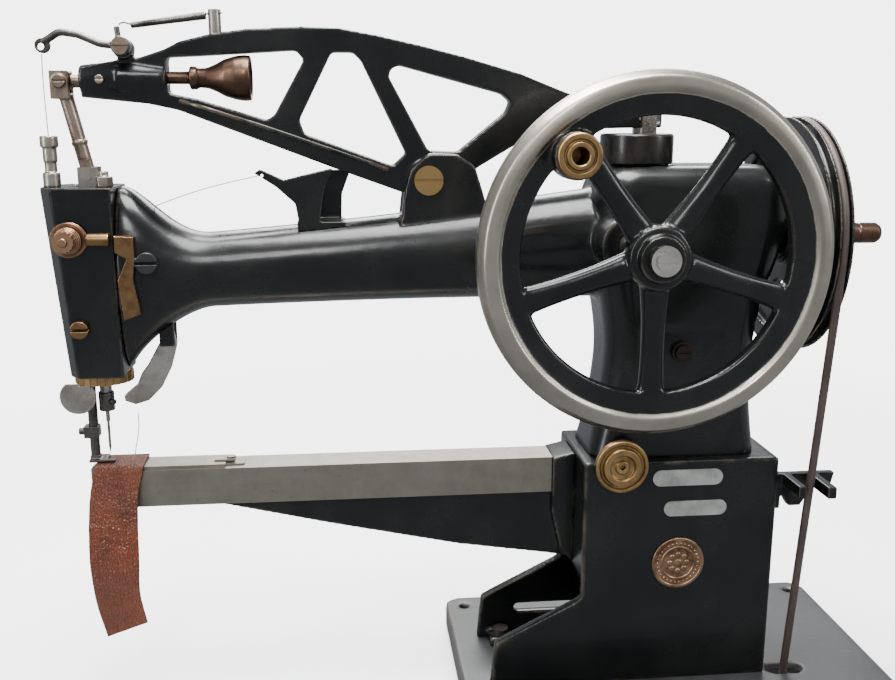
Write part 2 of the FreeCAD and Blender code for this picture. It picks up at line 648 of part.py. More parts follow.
def needle_lever():
    beam = plate_xz(LEVER_TOP + LEVER_LOW, -LEVER_HALF, LEVER_HALF)
    for window in (WINDOW_A, WINDOW_B, WINDOW_C):
        beam = beam.cut(plate_xz(window, -LEVER_HALF - 1, LEVER_HALF + 1))
    boss = rod(13, V(PIVOT_X, -LEVER_HALF - 1.5, PIVOT_Z), V(PIVOT_X, LEVER_HALF + 1.5, PIVOT_Z))
    sleeve = cone(8.7, 11.8, V(-384, 0, ROD_Z - 1), V(-357, 0, ROD_Z - 1))
    sleeve_back = cone(12.2, 9.5, V(-360, 0, ROD_Z - 1), V(-330, 0, ROD_Z - 1))
    take_up_boss = rod(6.5, V(TAKE_UP_X, 0, TAKE_UP_Z - 1), V(TAKE_UP_X, -10, TAKE_UP_Z - 1))
    lever = beam.fuse(boss).fuse(sleeve).fuse(sleeve_back).fuse(take_up_boss)
    lever = lever.cut(rod(PIVOT_PIN_R + RUNNING_FIT, V(PIVOT_X, -20, PIVOT_Z), V(PIVOT_X, 20, PIVOT_Z)))
    lever = lever.cut(rod(4 + RUNNING_FIT, V(-372, 0, ROD_Z), V(-320, 0, ROD_Z)))
    lever = lever.cut(rod(4.02, V(-384, 0, LINK_TOP.z), V(-378, 0, LINK_TOP.z)))
    lever = lever.cut(rod(3 + RUNNING_FIT, V(TAKE_UP_X, 1, TAKE_UP_Z), V(TAKE_UP_X, -12, TAKE_UP_Z)))
    slot = [V(CAM_ROD_X - 2, 0, 418), V(CAM_ROD_X + 6, 0, 418)]
    for centre in slot:
        lever = lever.cut(rod(3.9, centre - Y_AXIS * 10, centre + Y_AXIS * 10))
    lever = lever.cut(box(slot[0].x, slot[1].x, -10, 10, 414.1, 421.9))
    return lever.removeSplitter()


def rod_eye():
    """Tongue at the lever's nose that drives the needle bar link."""
    shank = rod(4, V(-390, 0, LINK_TOP.z), V(-378, 0, LINK_TOP.z))
    tongue = box(-402, -389.5, -2.5, 2.5, LINK_TOP.z - 5.5, LINK_TOP.z + 5.5)
    return shank.fuse(tongue).removeSplitter().cut(rod(3.4, LINK_TOP - Y_AXIS * 5, LINK_TOP + Y_AXIS * 5))


def nose_screw(lever):
    return slotted_head(-370, -9.5, 442, 2.8, 3.4).cut(lever)


def spring_post(lever):
    return rod(4, V(-298, 0, 470), V(-298, 0, 486)).cut(lever)


def take_up_spring():
    return rod(2.6, V(-352, -1, 475.5), V(-302.7, 0, 482.5))


def lever_pin():
    shank = rod(PIVOT_PIN_R, V(PIVOT_X, -18, PIVOT_Z), V(PIVOT_X, 20, PIVOT_Z))
    return shank.fuse(slotted_head(PIVOT_X, -18, PIVOT_Z, 9.6, 3.5)).removeSplitter()


def pin_nut():
    return tube(9.5, PIVOT_PIN_R, V(PIVOT_X, 18, PIVOT_Z), V(PIVOT_X, 23, PIVOT_Z))


def stroke_knob():
    """Adjusting rod with its collar and bell-shaped grip."""
    shank = rod(4, V(-370, 0, ROD_Z), V(-309, 0, ROD_Z))
    collar = rod(8, V(-315, 0, ROD_Z), V(-311, 0, ROD_Z))
    neck = rod(6.5, V(-311, 0, ROD_Z), V(-300, 0, ROD_Z))
    bell = cone(7.5, 14.5, V(-308, 0, ROD_Z), V(-283, 0, ROD_Z))
    mouth = cone(14.5, 12.5, V(-283, 0, ROD_Z), V(-276, 0, ROD_Z))
    hollow = cone(4, 10.5, V(-290, 0, ROD_Z), V(-275.9, 0, ROD_Z))
    return fused([shank, collar, neck, bell, mouth]).cut(hollow)


def cam_rod():
    shaft = rod(CAM_ROD_R, V(CAM_ROD_X, 0, 356.5), V(CAM_ROD_X, 0, 405.5))
    bridge = box(CAM_ROD_X - 5, CAM_ROD_X + 5, -12, 12, 402, 405.5)
    ears = [box(CAM_ROD_X - 5, CAM_ROD_X + 5, y, y + 4, 402, 425) for y in (-12, 8)]
    return fused([shaft, bridge] + ears).cut(rod(3.02, V(CAM_ROD_X, -15, 418), V(CAM_ROD_X, 15, 418)))


def cam_rod_pin():
    return rod(3, V(CAM_ROD_X, -13, 418), V(CAM_ROD_X, 13, 418))


def take_up_lever():
    line = [V(-402, 0, 464), V(-392, 0, 470.5), V(-381, 0, 469), V(-368, 0, 463.5), V(-355, 0, 462)]
    path = rounded_wire([V(p.x, -13, p.z) for p in line], [0, 8, 10, 12, 0], closed=False)
    profile = Part.Wire(Part.makeCircle(2.3, V(line[0].x, -13, line[0].z), line[1].sub(line[0])))
    bar = path.makePipeShell([profile], True, False)
    pivot = rod(6, V(TAKE_UP_X, -16, TAKE_UP_Z), V(TAKE_UP_X, -10.4, TAKE_UP_Z))
    eye = rod(4.6, V(-402.5, -14.8, 462), V(-402.5, -11.2, 462))
    tail = rod(1.8, V(-356, -13, 464), V(-357, -13, 474))
    lever = fused([bar, pivot, eye, tail])
    lever = lever.cut(rod(2.2, V(-403.5, -20, 461.5), V(-403.5, 0, 461.5)))
    return lever.cut(rod(3.02, V(TAKE_UP_X, -17, TAKE_UP_Z), V(TAKE_UP_X, -9, TAKE_UP_Z)))


def take_up_screw():
    shank = rod(3, V(TAKE_UP_X, -16, TAKE_UP_Z), V(TAKE_UP_X, -1, TAKE_UP_Z))
    return shank.fuse(slotted_head(TAKE_UP_X, -16, TAKE_UP_Z, 5.2, 2.6)).removeSplitter()


def needle_link():
    """Slanting tube with a fork at the top and an eye at the bottom."""
    along = LINK_TOP.sub(LINK_BOTTOM).normalize()
    stem = rod(4.5, LINK_BOTTOM + along * 5, LINK_TOP - along * 9)
    ring = rod(5.2, LINK_BOTTOM + along * 21, LINK_BOTTOM + along * 23)
    bridge = box(LINK_TOP.x - 6, LINK_TOP.x + 5.4, -7, 7, LINK_TOP.z - 11, LINK_TOP.z - 7.5)
    cheeks = [box(LINK_TOP.x - 6, LINK_TOP.x + 5.4, y, y + 3.8, LINK_TOP.z - 11, LINK_TOP.z + 6.5)
              for y in (-7, 3.2)]
    eye = rod(6, LINK_BOTTOM - Y_AXIS * 3, LINK_BOTTOM + Y_AXIS * 3)
    stem_end = box(-400, -360, 3, 9, 370, 392)
    stem = stem.cut(stem_end).cut(stem_end.mirror(V(0, 0, 0), Y_AXIS))
    link = fused([stem, ring, bridge, eye] + cheeks)
    link = link.cut(rod(2.52, LINK_TOP - Y_AXIS * 9, LINK_TOP + Y_AXIS * 9))
    return link.cut(rod(2.5 + RUNNING_FIT, LINK_BOTTOM - Y_AXIS * 9, LINK_BOTTOM + Y_AXIS * 9))


def link_pin():
    shank = rod(2.5, LINK_TOP - Y_AXIS * 7, LINK_TOP + Y_AXIS * 7)
    return shank.fuse(slotted_head(LINK_TOP.x, -7, LINK_TOP.z, 4.2, 2)).removeSplitter()


def needle_bar():
    bar = rod(NEEDLE_BAR_R, V(NEEDLE_X, 0, 222), V(NEEDLE_X, 0, 374))
    base = box(NEEDLE_X - 6, NEEDLE_X + 6, -7.5, 7.5, 368, 373.5)
    cheeks = [box(NEEDLE_X - 6, NEEDLE_X + 6, y, y + 4, 368, 387) for y in (-7.5, 3.5)]
    fork = fused([bar, base] + cheeks)
    return fork.cut(rod(2.52, LINK_BOTTOM - Y_AXIS * 9, LINK_BOTTOM + Y_AXIS * 9))


def needle_bar_pin():
    return rod(2.5, LINK_BOTTOM - Y_AXIS * 8.2, LINK_BOTTOM + Y_AXIS * 8.2)


def needle_clamp():
    collar = tube(5.2, NEEDLE_BAR_R + 0.02, V(NEEDLE_X, 0, 222), V(NEEDLE_X, 0, 235))
    screw = rod(2, V(NEEDLE_X + 3.2, -3.2, 229), V(NEEDLE_X + 6.4, -6.4, 229))
    return collar.fuse(screw).removeSplitter()


def needle():
    shank = rod(1.4, V(NEEDLE_X, 0, 214), V(NEEDLE_X, 0, 222))
    blade = rod(0.9, V(NEEDLE_X, 0, 196), V(NEEDLE_X, 0, 214))
    point = cone(0.9, 0.15, V(NEEDLE_X, 0, 196), V(NEEDLE_X, 0, 191))
    return fused([shank, blade, point])


# ---- head -------------------------------------------------------------------
def head_outline(x0, x1, y0, y1, cut_x, cut_y, z):
    points = [V(x0 + cut_x, y0, z), V(x1, y0, z), V(x1, y1, z), V(x0 + cut_x, y1, z),
              V(x0, y1 - cut_y, z), V(x0, y0 + cut_y, z)]
    return outline_wire(points)


def head_casting():
    body = Part.makeLoft([head_outline(-411, -365, -28, 21, 9, 12, HEAD_TOP),
                          head_outline(-401, -365, -25, 18, 7, 9, HEAD_BOTTOM)], True, True)
    body = body.cut(rod(SLEEVE_R + RUNNING_FIT, V(NEEDLE_X, 0, 240), V(NEEDLE_X, 0, 302)))
    body = body.cut(rod(NEEDLE_BAR_R + RUNNING_FIT, V(NEEDLE_X, 0, 300), V(NEEDLE_X, 0, 380)))
    body = body.cut(box(NEEDLE_X - 11.5, NEEDLE_X + 10, -10, 10, 335, 380))
    return body.cut(rod(3.02, V(-392, -40, 342.5), V(-392, -14, 342.5)))


def turning_sleeve():
    sleeve = rod(SLEEVE_R, V(NEEDLE_X, 0, 246), V(NEEDLE_X, 0, 300))
    sleeve = sleeve.cut(rod(NEEDLE_BAR_R + RUNNING_FIT, V(NEEDLE_X, 0, 240), V(NEEDLE_X, 0, 310)))
    return sleeve.cut(rod(PRESSER_BAR_R + RUNNING_FIT, V(PRESSER_X, 0, 240), V(PRESSER_X, 0, 310)))


def turning_ring():
    ring = tube(19.3, SLEEVE_R + 0.02, V(NEEDLE_X, 0, 243.5), V(NEEDLE_X, 0, 249.4))
    grooves = []
    for index in range(24):
        angle = 2 * math.pi * index / 24
        x = NEEDLE_X + 19.6 * math.cos(angle)
        y = 19.6 * math.sin(angle)
        grooves.append(rod(0.9, V(x, y, 243), V(x, y, 250)))
    return ring.cut(fused(grooves))


def ring_wing():
    """Nickel thumb wing under the ring."""
    blade = rod(12, V(-399, -12, 234.5), V(-399, -10, 234.5))
    blade = blade.common(box(-412, -387.2, -13, -9, 222, 243.5))
    shelf = box(-397, -389, -17, -9.5, 241.5, 243.5)
    return blade.fuse(shelf).removeSplitter()


def presser_bar():
    return rod(PRESSER_BAR_R, V(PRESSER_X, 0, 190), V(PRESSER_X, 0, 288))


def foot_clamp():
    block = box(PRESSER_X - 6, PRESSER_X + 3.9, -4.5, 4.5, 203, 211)
    screw = rod(2.4, V(PRESSER_X - 6, 0, 207), V(PRESSER_X - 10, 0, 207))
    bore = rod(PRESSER_BAR_R + 0.02, V(PRESSER_X, 0, 200), V(PRESSER_X, 0, 215))
    return block.fuse(screw).removeSplitter().cut(bore)


def presser_foot():
    sole = box(PRESSER_X - 3.6, PRESSER_X + 8.2, -6, 8, 185.7, 187.6)
    toe = box(PRESSER_X + 8.1, PRESSER_X + 14, -6, -2.4, 185.7, 187.6)
    shank = box(PRESSER_X - 3.2, PRESSER_X + 3.2, -3.2, 3.2, 187.5, 190)
    return fused([sole, toe, shank])


def presser_lifter():
    """Curved nickel lever under the bulb that raises the presser bar."""
    blade = [(-335, 276), (-336, 268), (-346, 251), (-354, 238), (-366, 229.5), (-370.5, 232), (-361, 240),
             (-357.5, 248), (-353, 254), (-348.5, 262), (-344.5, 269), (-340.5, 275.5)]
    pivot = V(LIFTER_X, 0, LIFTER_Z)
    return plate_xz(blade, -3.5, 3.5).cut(rod(1.8 + RUNNING_FIT, pivot - Y_AXIS * 8, pivot + Y_AXIS * 8))


def lifter_bracket(casting):
    ears = [box(-344, -334, y, y + 3, 267, 295) for y in (-6.9, 3.9)]
    pin = rod(1.8, V(LIFTER_X, -6.9, LIFTER_Z), V(LIFTER_X, 6.9, LIFTER_Z))
    return fused(ears + [pin]).cut(casting)


def tension_discs():
    lower = rod(11, V(-392, -29.6, 342.5), V(-392, -28.4, 342.5))
    upper = rod(11, V(-392, -31.4, 342.5), V(-392, -30.2, 342.5))
    hub = rod(5, V(-392, -31.4, 342.5), V(-392, -28.05, 342.5))
    discs = fused([lower, upper, hub])
    return discs.cut(rod(3.02, V(-392, -40, 342.5), V(-392, -20, 342.5)))


def tension_stud():
    return rod(3, V(-392, -46, 342.5), V(-392, -15, 342.5))


def tension_spring():
    return tube(8.6, 6.6, V(-392, -38.5, 342.5), V(-392, -31.4, 342.5))


def tension_nut():
    nut = tube(6.6, 3 + RUNNING_FIT, V(-392, -44.5, 342.5), V(-392, -38.9, 342.5))
    knurls = []
    for index in range(16):
        angle = 2 * math.pi * index / 16
        x = -392 + 6.9 * math.cos(angle)
        z = 342.5 + 6.9 * math.sin(angle)
        knurls.append(rod(0.8, V(x, -45, z), V(x, -38, z)))
    return nut.cut(fused(knurls))


def tension_arm(head):
    """Brass cross bar to the right of the discs."""
    return rod(4.4, V(-380.5, -31, 342.5), V(-366.5, -31, 342.5)).cut(head)


def brass_band(head, casting):
    """Curved brass strip along the seam between head and arm."""
    strip = [(-364, 345), (-352, 344), (-352, 331), (-353.5, 316), (-350, 294), (-361, 290), (-363.5, 316),
             (-357, 330), (-364, 334)]
    return plate_xz(strip, -31, -20).cut(head).cut(casting).cut(box(-370, -340, -24, 0, 280, 360))


def head_screws(head, casting):
    """Brass side screw and the arm's round boss screw."""
    side = slotted_head(-390, -24, 284, 6, 6.5).cut(head)
    boss = slotted_head(-345, -24, 327, 7, 6.5).cut(casting)
    return side, boss


def thimble():
    """Presser spring screw on top of the head."""
    x, y = -403.5, -13
    return fused([rod(5.4, V(x, y, HEAD_TOP), V(x, y, 384)), rod(3.8, V(x, y, 384), V(x, y, 391)),
                  rod(4.4, V(x, y, 391), V(x, y, 400)), rod(5.6, V(x, y, 400), V(x, y, 407))])


def top_nut():
    x, y = -370.4, -16.5
    corners = []
    for index in range(6):
        angle = math.radians(60 * index)
        corners.append(V(x + 5.8 * math.cos(angle), y + 5.8 * math.sin(angle), HEAD_TOP))
    nut = Part.Face(outline_wire(corners)).extrude(V(0, 0, 6.5))
    return nut.fuse(rod(3, V(x, y, HEAD_TOP), V(x, y, 385))).removeSplitter()


# ---- soft pieces ------------------------------------------------------------
def leather_strap():
    top = box(-397, -364, -16.2, 12, SLIDE_TOP + 0.2, SLIDE_TOP + 2.2)
    hang = box(-397, -364, -16.2, -13.8, 64, SLIDE_TOP + 2.2)
    return top.fuse(hang).removeSplitter().cut(rod(1.8, V(NEEDLE_X, 0, 175), V(NEEDLE_X, 0, 190)))


TAKE_UP_THREAD = [V(-403.5, -13, 456.9), V(-404.2, -12.4, 441), V(-403.9, -12.6, 424), V(-403.5, -13, 407.1)]
GUIDE_THREAD = [V(-273, -14.6, 381.5), V(-298, -12.5, 377), V(-322, -8, 373), V(-345.5, -3, 368.9)]
TAIL_THREAD = [V(-366.2, -4, 185.7), V(-365, -5.2, 194), V(-363, -4, 203), V(-361.2, -5, 213),
               V(-361.5, -6, 221)]


def main():
    os.makedirs("parts", exist_ok=True)
    casting = arm_casting()
    head = head_casting()
    lever = needle_lever()
    side_screw, boss_screw = head_screws(head, casting)
    nodes = {
        "base_plate": base_plate(), "base_block": base_block(), "base_bolts": base_bolts(),
        "upper_name_plate": face_plate(-9, 41, 168.5, 180), "lower_name_plate": face_plate(0, 45, 146, 157),
        "round_badge": badge(), "bearing_disc": Part.makeCompound([bearing_disc(), bearing_screw()]),
        "belt_guide": belt_guide(), "lower_arm": lower_arm(), "arm_tube": arm_tube(),
        "needle_plate": needle_plate(), "slide_plate": Part.makeCompound([slide_plate(), slide_latch()]),
        "shuttle": shuttle(), "bobbin": bobbin(), "shuttle_pinion": shuttle_pinion(),
        "shuttle_rack": shuttle_rack(), "arm_casting": casting, "top_cap": top_cap(),
        "oil_plug": oil_plug(), "thread_guide": thread_guide(casting), "flywheel": flywheel(),
        "handle_bush": handle_bush(), "hub_bolt": hub_bolt(), "cross_shaft": cross_shaft(),
        "wheel_gear": wheel_gear(), "pulley": pulley(), "main_shaft": main_shaft(),
        "shaft_peg": shaft_peg(), "pulley_gear": pulley_gear(), "stroke_cam": stroke_cam(),
        "drive_belt": belt(), "belt_hooks": belt_hooks(), "needle_lever": lever,
        "rod_eye": Part.makeCompound([rod_eye(), nose_screw(lever)]),
        "spring_post": spring_post(lever), "take_up_spring": take_up_spring(),
        "lever_pin": Part.makeCompound([lever_pin(), pin_nut()]), "stroke_knob": stroke_knob(),
        "cam_rod": Part.makeCompound([cam_rod(), cam_rod_pin()]), "take_up_lever": take_up_lever(),
        "take_up_screw": take_up_screw(), "needle_link": Part.makeCompound([needle_link(), link_pin()]),
        "needle_bar": Part.makeCompound([needle_bar(), needle_bar_pin()]), "needle_clamp": needle_clamp(),
        "needle": needle(), "head_casting": head,
        "turning_sleeve": turning_sleeve(), "turning_ring": turning_ring(), "ring_wing": ring_wing(),
        "presser_bar": presser_bar(), "presser_foot": Part.makeCompound([foot_clamp(), presser_foot()]),
        "presser_lifter": Part.makeCompound([presser_lifter()]),
        "lifter_bracket": lifter_bracket(casting),
        "thread_tension": Part.makeCompound([tension_discs(), tension_stud(), tension_spring()]),
        "tension_nut": tension_nut(),
        "head_trim": Part.makeCompound([tension_arm(head), brass_band(head, casting), side_screw,
                                        boss_screw, thimble(), top_nut()]),
        "leather_strap": leather_strap(), "take_up_thread": route_tube(TAKE_UP_THREAD, THREAD_R),
        "guide_thread": route_tube(GUIDE_THREAD, THREAD_R), "tail_thread": route_tube(TAIL_THREAD, THREAD_R),
    }
    for name, shape in nodes.items():
        save(name, shape)


main()
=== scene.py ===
"""Looks of the leather sewing machine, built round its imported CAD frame. Metres, in the CAD's frame."""
import json
import math

import bmesh
import bpy
from mathutils import Matrix, Vector, noise


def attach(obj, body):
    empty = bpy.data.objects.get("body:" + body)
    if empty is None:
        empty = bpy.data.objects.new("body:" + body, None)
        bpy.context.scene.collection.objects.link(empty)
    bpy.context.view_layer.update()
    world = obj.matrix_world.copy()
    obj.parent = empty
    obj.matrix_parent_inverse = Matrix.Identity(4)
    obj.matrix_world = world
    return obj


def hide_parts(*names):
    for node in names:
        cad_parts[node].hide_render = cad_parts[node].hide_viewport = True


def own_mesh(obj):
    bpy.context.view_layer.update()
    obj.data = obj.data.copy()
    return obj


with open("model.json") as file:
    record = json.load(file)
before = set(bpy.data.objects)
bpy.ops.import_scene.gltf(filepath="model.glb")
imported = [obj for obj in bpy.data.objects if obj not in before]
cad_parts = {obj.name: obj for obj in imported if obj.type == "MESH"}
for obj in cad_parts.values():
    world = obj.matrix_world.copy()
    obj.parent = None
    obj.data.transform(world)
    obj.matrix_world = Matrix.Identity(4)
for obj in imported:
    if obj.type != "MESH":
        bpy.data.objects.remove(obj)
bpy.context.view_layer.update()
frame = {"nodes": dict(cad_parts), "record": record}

MM = 0.001

# Camera
CAMERA_PLACE = Vector((-0.2193, -0.683, 0.4182))
CAMERA_RIGHT = Vector((0.99454, -0.10437, 0.00075))
CAMERA_UP = Vector((0.02188, 0.21554, 0.97625))
CAMERA_FORWARD = Vector((0.10206, 0.9709, -0.21665))
CAMERA_LENS = 40.22

# Machine, mm
SHAFT_Z = 338.0
WHEEL_X = -35.0
WHEEL_BRIGHT_R = 94.5
BELT_X = 98.3
BELT_R = 2.75
THREAD_R = 0.35

BOSS_SCREW_X = -345.0
BOSS_SCREW_Z = 327.0

# Routes of the cords, mm
BELT_ROUTE = [(BELT_X, -40, 6), (BELT_X, -74.5, 295.8), (BELT_X, -81.1, 351.3), (BELT_X, -61.5, 392.6),
              (BELT_X, -22.9, 417), (BELT_X, 22.9, 417), (BELT_X, 61.5, 392.6), (BELT_X, 81.1, 351.3),
              (BELT_X, 74.5, 295.8), (BELT_X, 40, 6)]
TAKE_UP_ROUTE = [(-403.5, -13, 456.9), (-404.2, -12.4, 441), (-403.9, -12.6, 424), (-403.5, -13, 407.1)]
GUIDE_ROUTE = [(-273, -14.6, 381.5), (-298, -12.5, 376), (-322, -8, 369), (-341.5, -3.6, 361.5)]
TAIL_ROUTE = [(-366.2, -4, 185.7), (-365, -5.2, 194), (-363, -4, 203), (-361.2, -5, 213), (-361.5, -6, 221)]

# Voxel size in mm and smoothing passes of each softened casting
CASTINGS = {
    "arm_casting": (1.5, 7), "base_block": (1.7, 5), "lower_arm": (1.3, 3), "head_casting": (0.9, 5),
    "needle_lever": (1.0, 12), "flywheel": (1.2, 7), "thread_guide": (0.7, 6), "belt_guide": (0.8, 4),
    "pulley": (1.0, 3), "lifter_bracket": (0.6, 4),
    "ring_wing": (0.5, 4), "head_trim": (0.5, 6), "rod_eye": (0.4, 3), "base_plate": (2.2, 3), "shaft_peg": (0.6, 3),
    "take_up_lever": (0.4, 3), "needle_link": (0.5, 3), "presser_foot": (0.5, 3), "needle_clamp": (0.4, 2),
}


def metres(point):
    return Vector(point) * MM


def body_of_node(node):
    for body, nodes in frame["record"]["behaviour"]["bodies"].items():
        if node in nodes:
            return body
    raise KeyError(node)


def slot_of_node(node):
    for entry in frame["record"]["subparts"]:
        if entry["node"] == node:
            return entry["material_slot"]
    raise KeyError(node)


def add_object(name, mesh):
    piece = bpy.data.objects.new(name, mesh)
    bpy.context.scene.collection.objects.link(piece)
    return piece


def smooth_faces(mesh):
    mesh.polygons.foreach_set("use_smooth", [True] * len(mesh.polygons))
    mesh.update()


def applied(piece):
    """The piece's mesh with its modifiers worked in."""
    graph = bpy.context.evaluated_depsgraph_get()
    mesh = bpy.data.meshes.new_from_object(piece.evaluated_get(graph))
    piece.modifiers.clear()
    piece.data = mesh
    return mesh


def settle(piece, body, material):
    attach(piece, body)
    piece.data.materials.clear()
    piece.data.materials.append(material)


def turned_mesh(name, profile, base, axis, steps=64, closed=False):
    """Profile of (radius, distance along axis) turned about the axis, in metres."""
    across = axis.orthogonal().normalized()
    other = axis.cross(across)
    grid = bmesh.new()
    rings = []
    for step in range(steps):
        angle = 2 * math.pi * step / steps
        out = across * math.cos(angle) + other * math.sin(angle)
        rings.append([grid.verts.new(base + axis * along + out * radius) for radius, along in profile])
    count = len(profile)
    for step in range(steps):
        ring, after = rings[step], rings[(step + 1) % steps]
        for index in range(count if closed else count - 1):
            upper = (index + 1) % count
            grid.faces.new((ring[index], after[index], after[upper], ring[upper]))
    bmesh.ops.remove_doubles(grid, verts=grid.verts, dist=1e-7)
    bmesh.ops.recalc_face_normals(grid, faces=grid.faces)
    mesh = bpy.data.meshes.new(name)
    grid.to_mesh(mesh)
    grid.free()
    smooth_faces(mesh)
    return mesh


def rounded_profile(corners, radius, steps=3):
    """Corner points with every corner but the ends rounded. mm."""
    line = [corners[0]]
    for before, corner, after in zip(corners, corners[1:], corners[2:]):
        here = Vector(corner)
        back = Vector(before) - here
        ahead = Vector(after) - here
        size = min(radius, back.length * 0.45, ahead.length * 0.45)
        start = here + back.normalized() * size
        end = here + ahead.normalized() * size
        for step in range(steps + 1):
            share = step / steps
            point = start * (1 - share) ** 2 + here * 2 * share * (1 - share) + end * share ** 2
            line.append((point.x, point.y))
    line.append(corners[-1])
    return line


def turned(name, corners, base, axis, rounding=0.5, steps=64):
    """A lathe-turned solid: corners are (radius, distance along the axis) in mm, from axis to axis."""
    profile = [(radius * MM, along * MM) for radius, along in rounded_profile(corners, rounding)]
    return add_object(name, turned_mesh(name, profile, metres(base), Vector(axis), steps))


# ---- camera, lights and floor -----------------------------------------------
def make_camera():
    data = bpy.data.cameras.new("camera")
    data.sensor_width = 36.0
    data.lens = CAMERA_LENS
    camera = bpy.data.objects.new("camera", data)
    turn = Matrix((CAMERA_RIGHT, CAMERA_UP, -CAMERA_FORWARD)).transposed().to_4x4()
    camera.matrix_world = Matrix.Translation(CAMERA_PLACE) @ turn
    bpy.context.scene.collection.objects.link(camera)
    bpy.context.scene.camera = camera


def soft_box(name, place, target, width, height, power, colour=(1.0, 1.0, 1.0)):
    data = bpy.data.lights.new(name, "AREA")
    data.shape = "RECTANGLE"
    data.size = width
    data.size_y = height
    data.energy = power
    data.color = colour
    light = bpy.data.objects.new(name, data)
    light.location = place
    aim = Vector(target) - Vector(place)
    light.rotation_euler = aim.to_track_quat("-Z", "Y").to_euler()
    bpy.context.scene.collection.objects.link(light)


def make_world():
    """Dim room light, with a white backdrop where the camera sees past the floor."""
    world = bpy.data.worlds.new("studio")
    world.use_nodes = True
    tree = world.node_tree
    room = tree.nodes["Background"]
    room.inputs["Color"].default_value = (0.9, 0.95, 1.0, 1.0)
    room.inputs["Strength"].default_value = 0.6
    paper = tree.nodes.new("ShaderNodeBackground")
    paper.inputs["Color"].default_value = (1.0, 1.0, 1.0, 1.0)
    paper.inputs["Strength"].default_value = 5.0
    path = tree.nodes.new("ShaderNodeLightPath")
    mix = tree.nodes.new("ShaderNodeMixShader")
    tree.links.new(path.outputs["Is Camera Ray"], mix.inputs[0])
    tree.links.new(room.outputs[0], mix.inputs[1])
    tree.links.new(paper.outputs[0], mix.inputs[2])
    tree.links.new(mix.outputs[0], tree.nodes["World Output"].inputs["Surface"])
    bpy.context.scene.world = world


def make_lights():
    soft_box("top_light", (-0.25, 0.0, 1.6), (-0.15, 0.05, 0.2), 1.3, 0.7, 110)
    soft_box("left_light", (-1.35, -0.7, 0.8), (-0.2, 0.0, 0.3), 0.25, 1.2, 15)
    soft_box("right_light", (1.2, -0.7, 1.0), (0.0, 0.0, 0.3), 0.22, 1.1, 13)
    soft_box("rear_light", (0.1, 1.6, 1.5), (-0.1, 0.0, 0.2), 1.6, 0.7, 60)
    soft_box("front_fill", (-0.5, -1.3, 1.3), (-0.15, 0.0, 0.3), 0.35, 0.35, 11)


def make_floor():
    """Pale round floor that fades into the backdrop."""
    rings = [(0.02, 0.0), (0.5, 0.0), (1.2, 0.0), (2.6, 0.0)]
    floor = add_object("floor", turned_mesh("floor", rings, Vector(), Vector((0, 0, 1)), 96))
    shader = Shader("floor_paper", roughness=0.9)
    shader.colour(shader.mix(shader.noise(2.0, 3), (0.90, 0.905, 0.91), (0.93, 0.93, 0.93)))
    fade = shader.span(shader.distance(), 0.45, 1.1)
    clear = shader.tree.nodes.new("ShaderNodeBsdfTransparent")
    mix = shader.tree.nodes.new("ShaderNodeMixShader")
    shader.put(mix.inputs[0], fade)
    shader.put(mix.inputs[1], shader.surface.outputs[0])
    shader.put(mix.inputs[2], clear.outputs[0])
    shader.put(shader.tree.nodes["Material Output"].inputs["Surface"], mix.outputs[0])
    floor.data.materials.append(shader.material)
    floor.visible_glossy = False


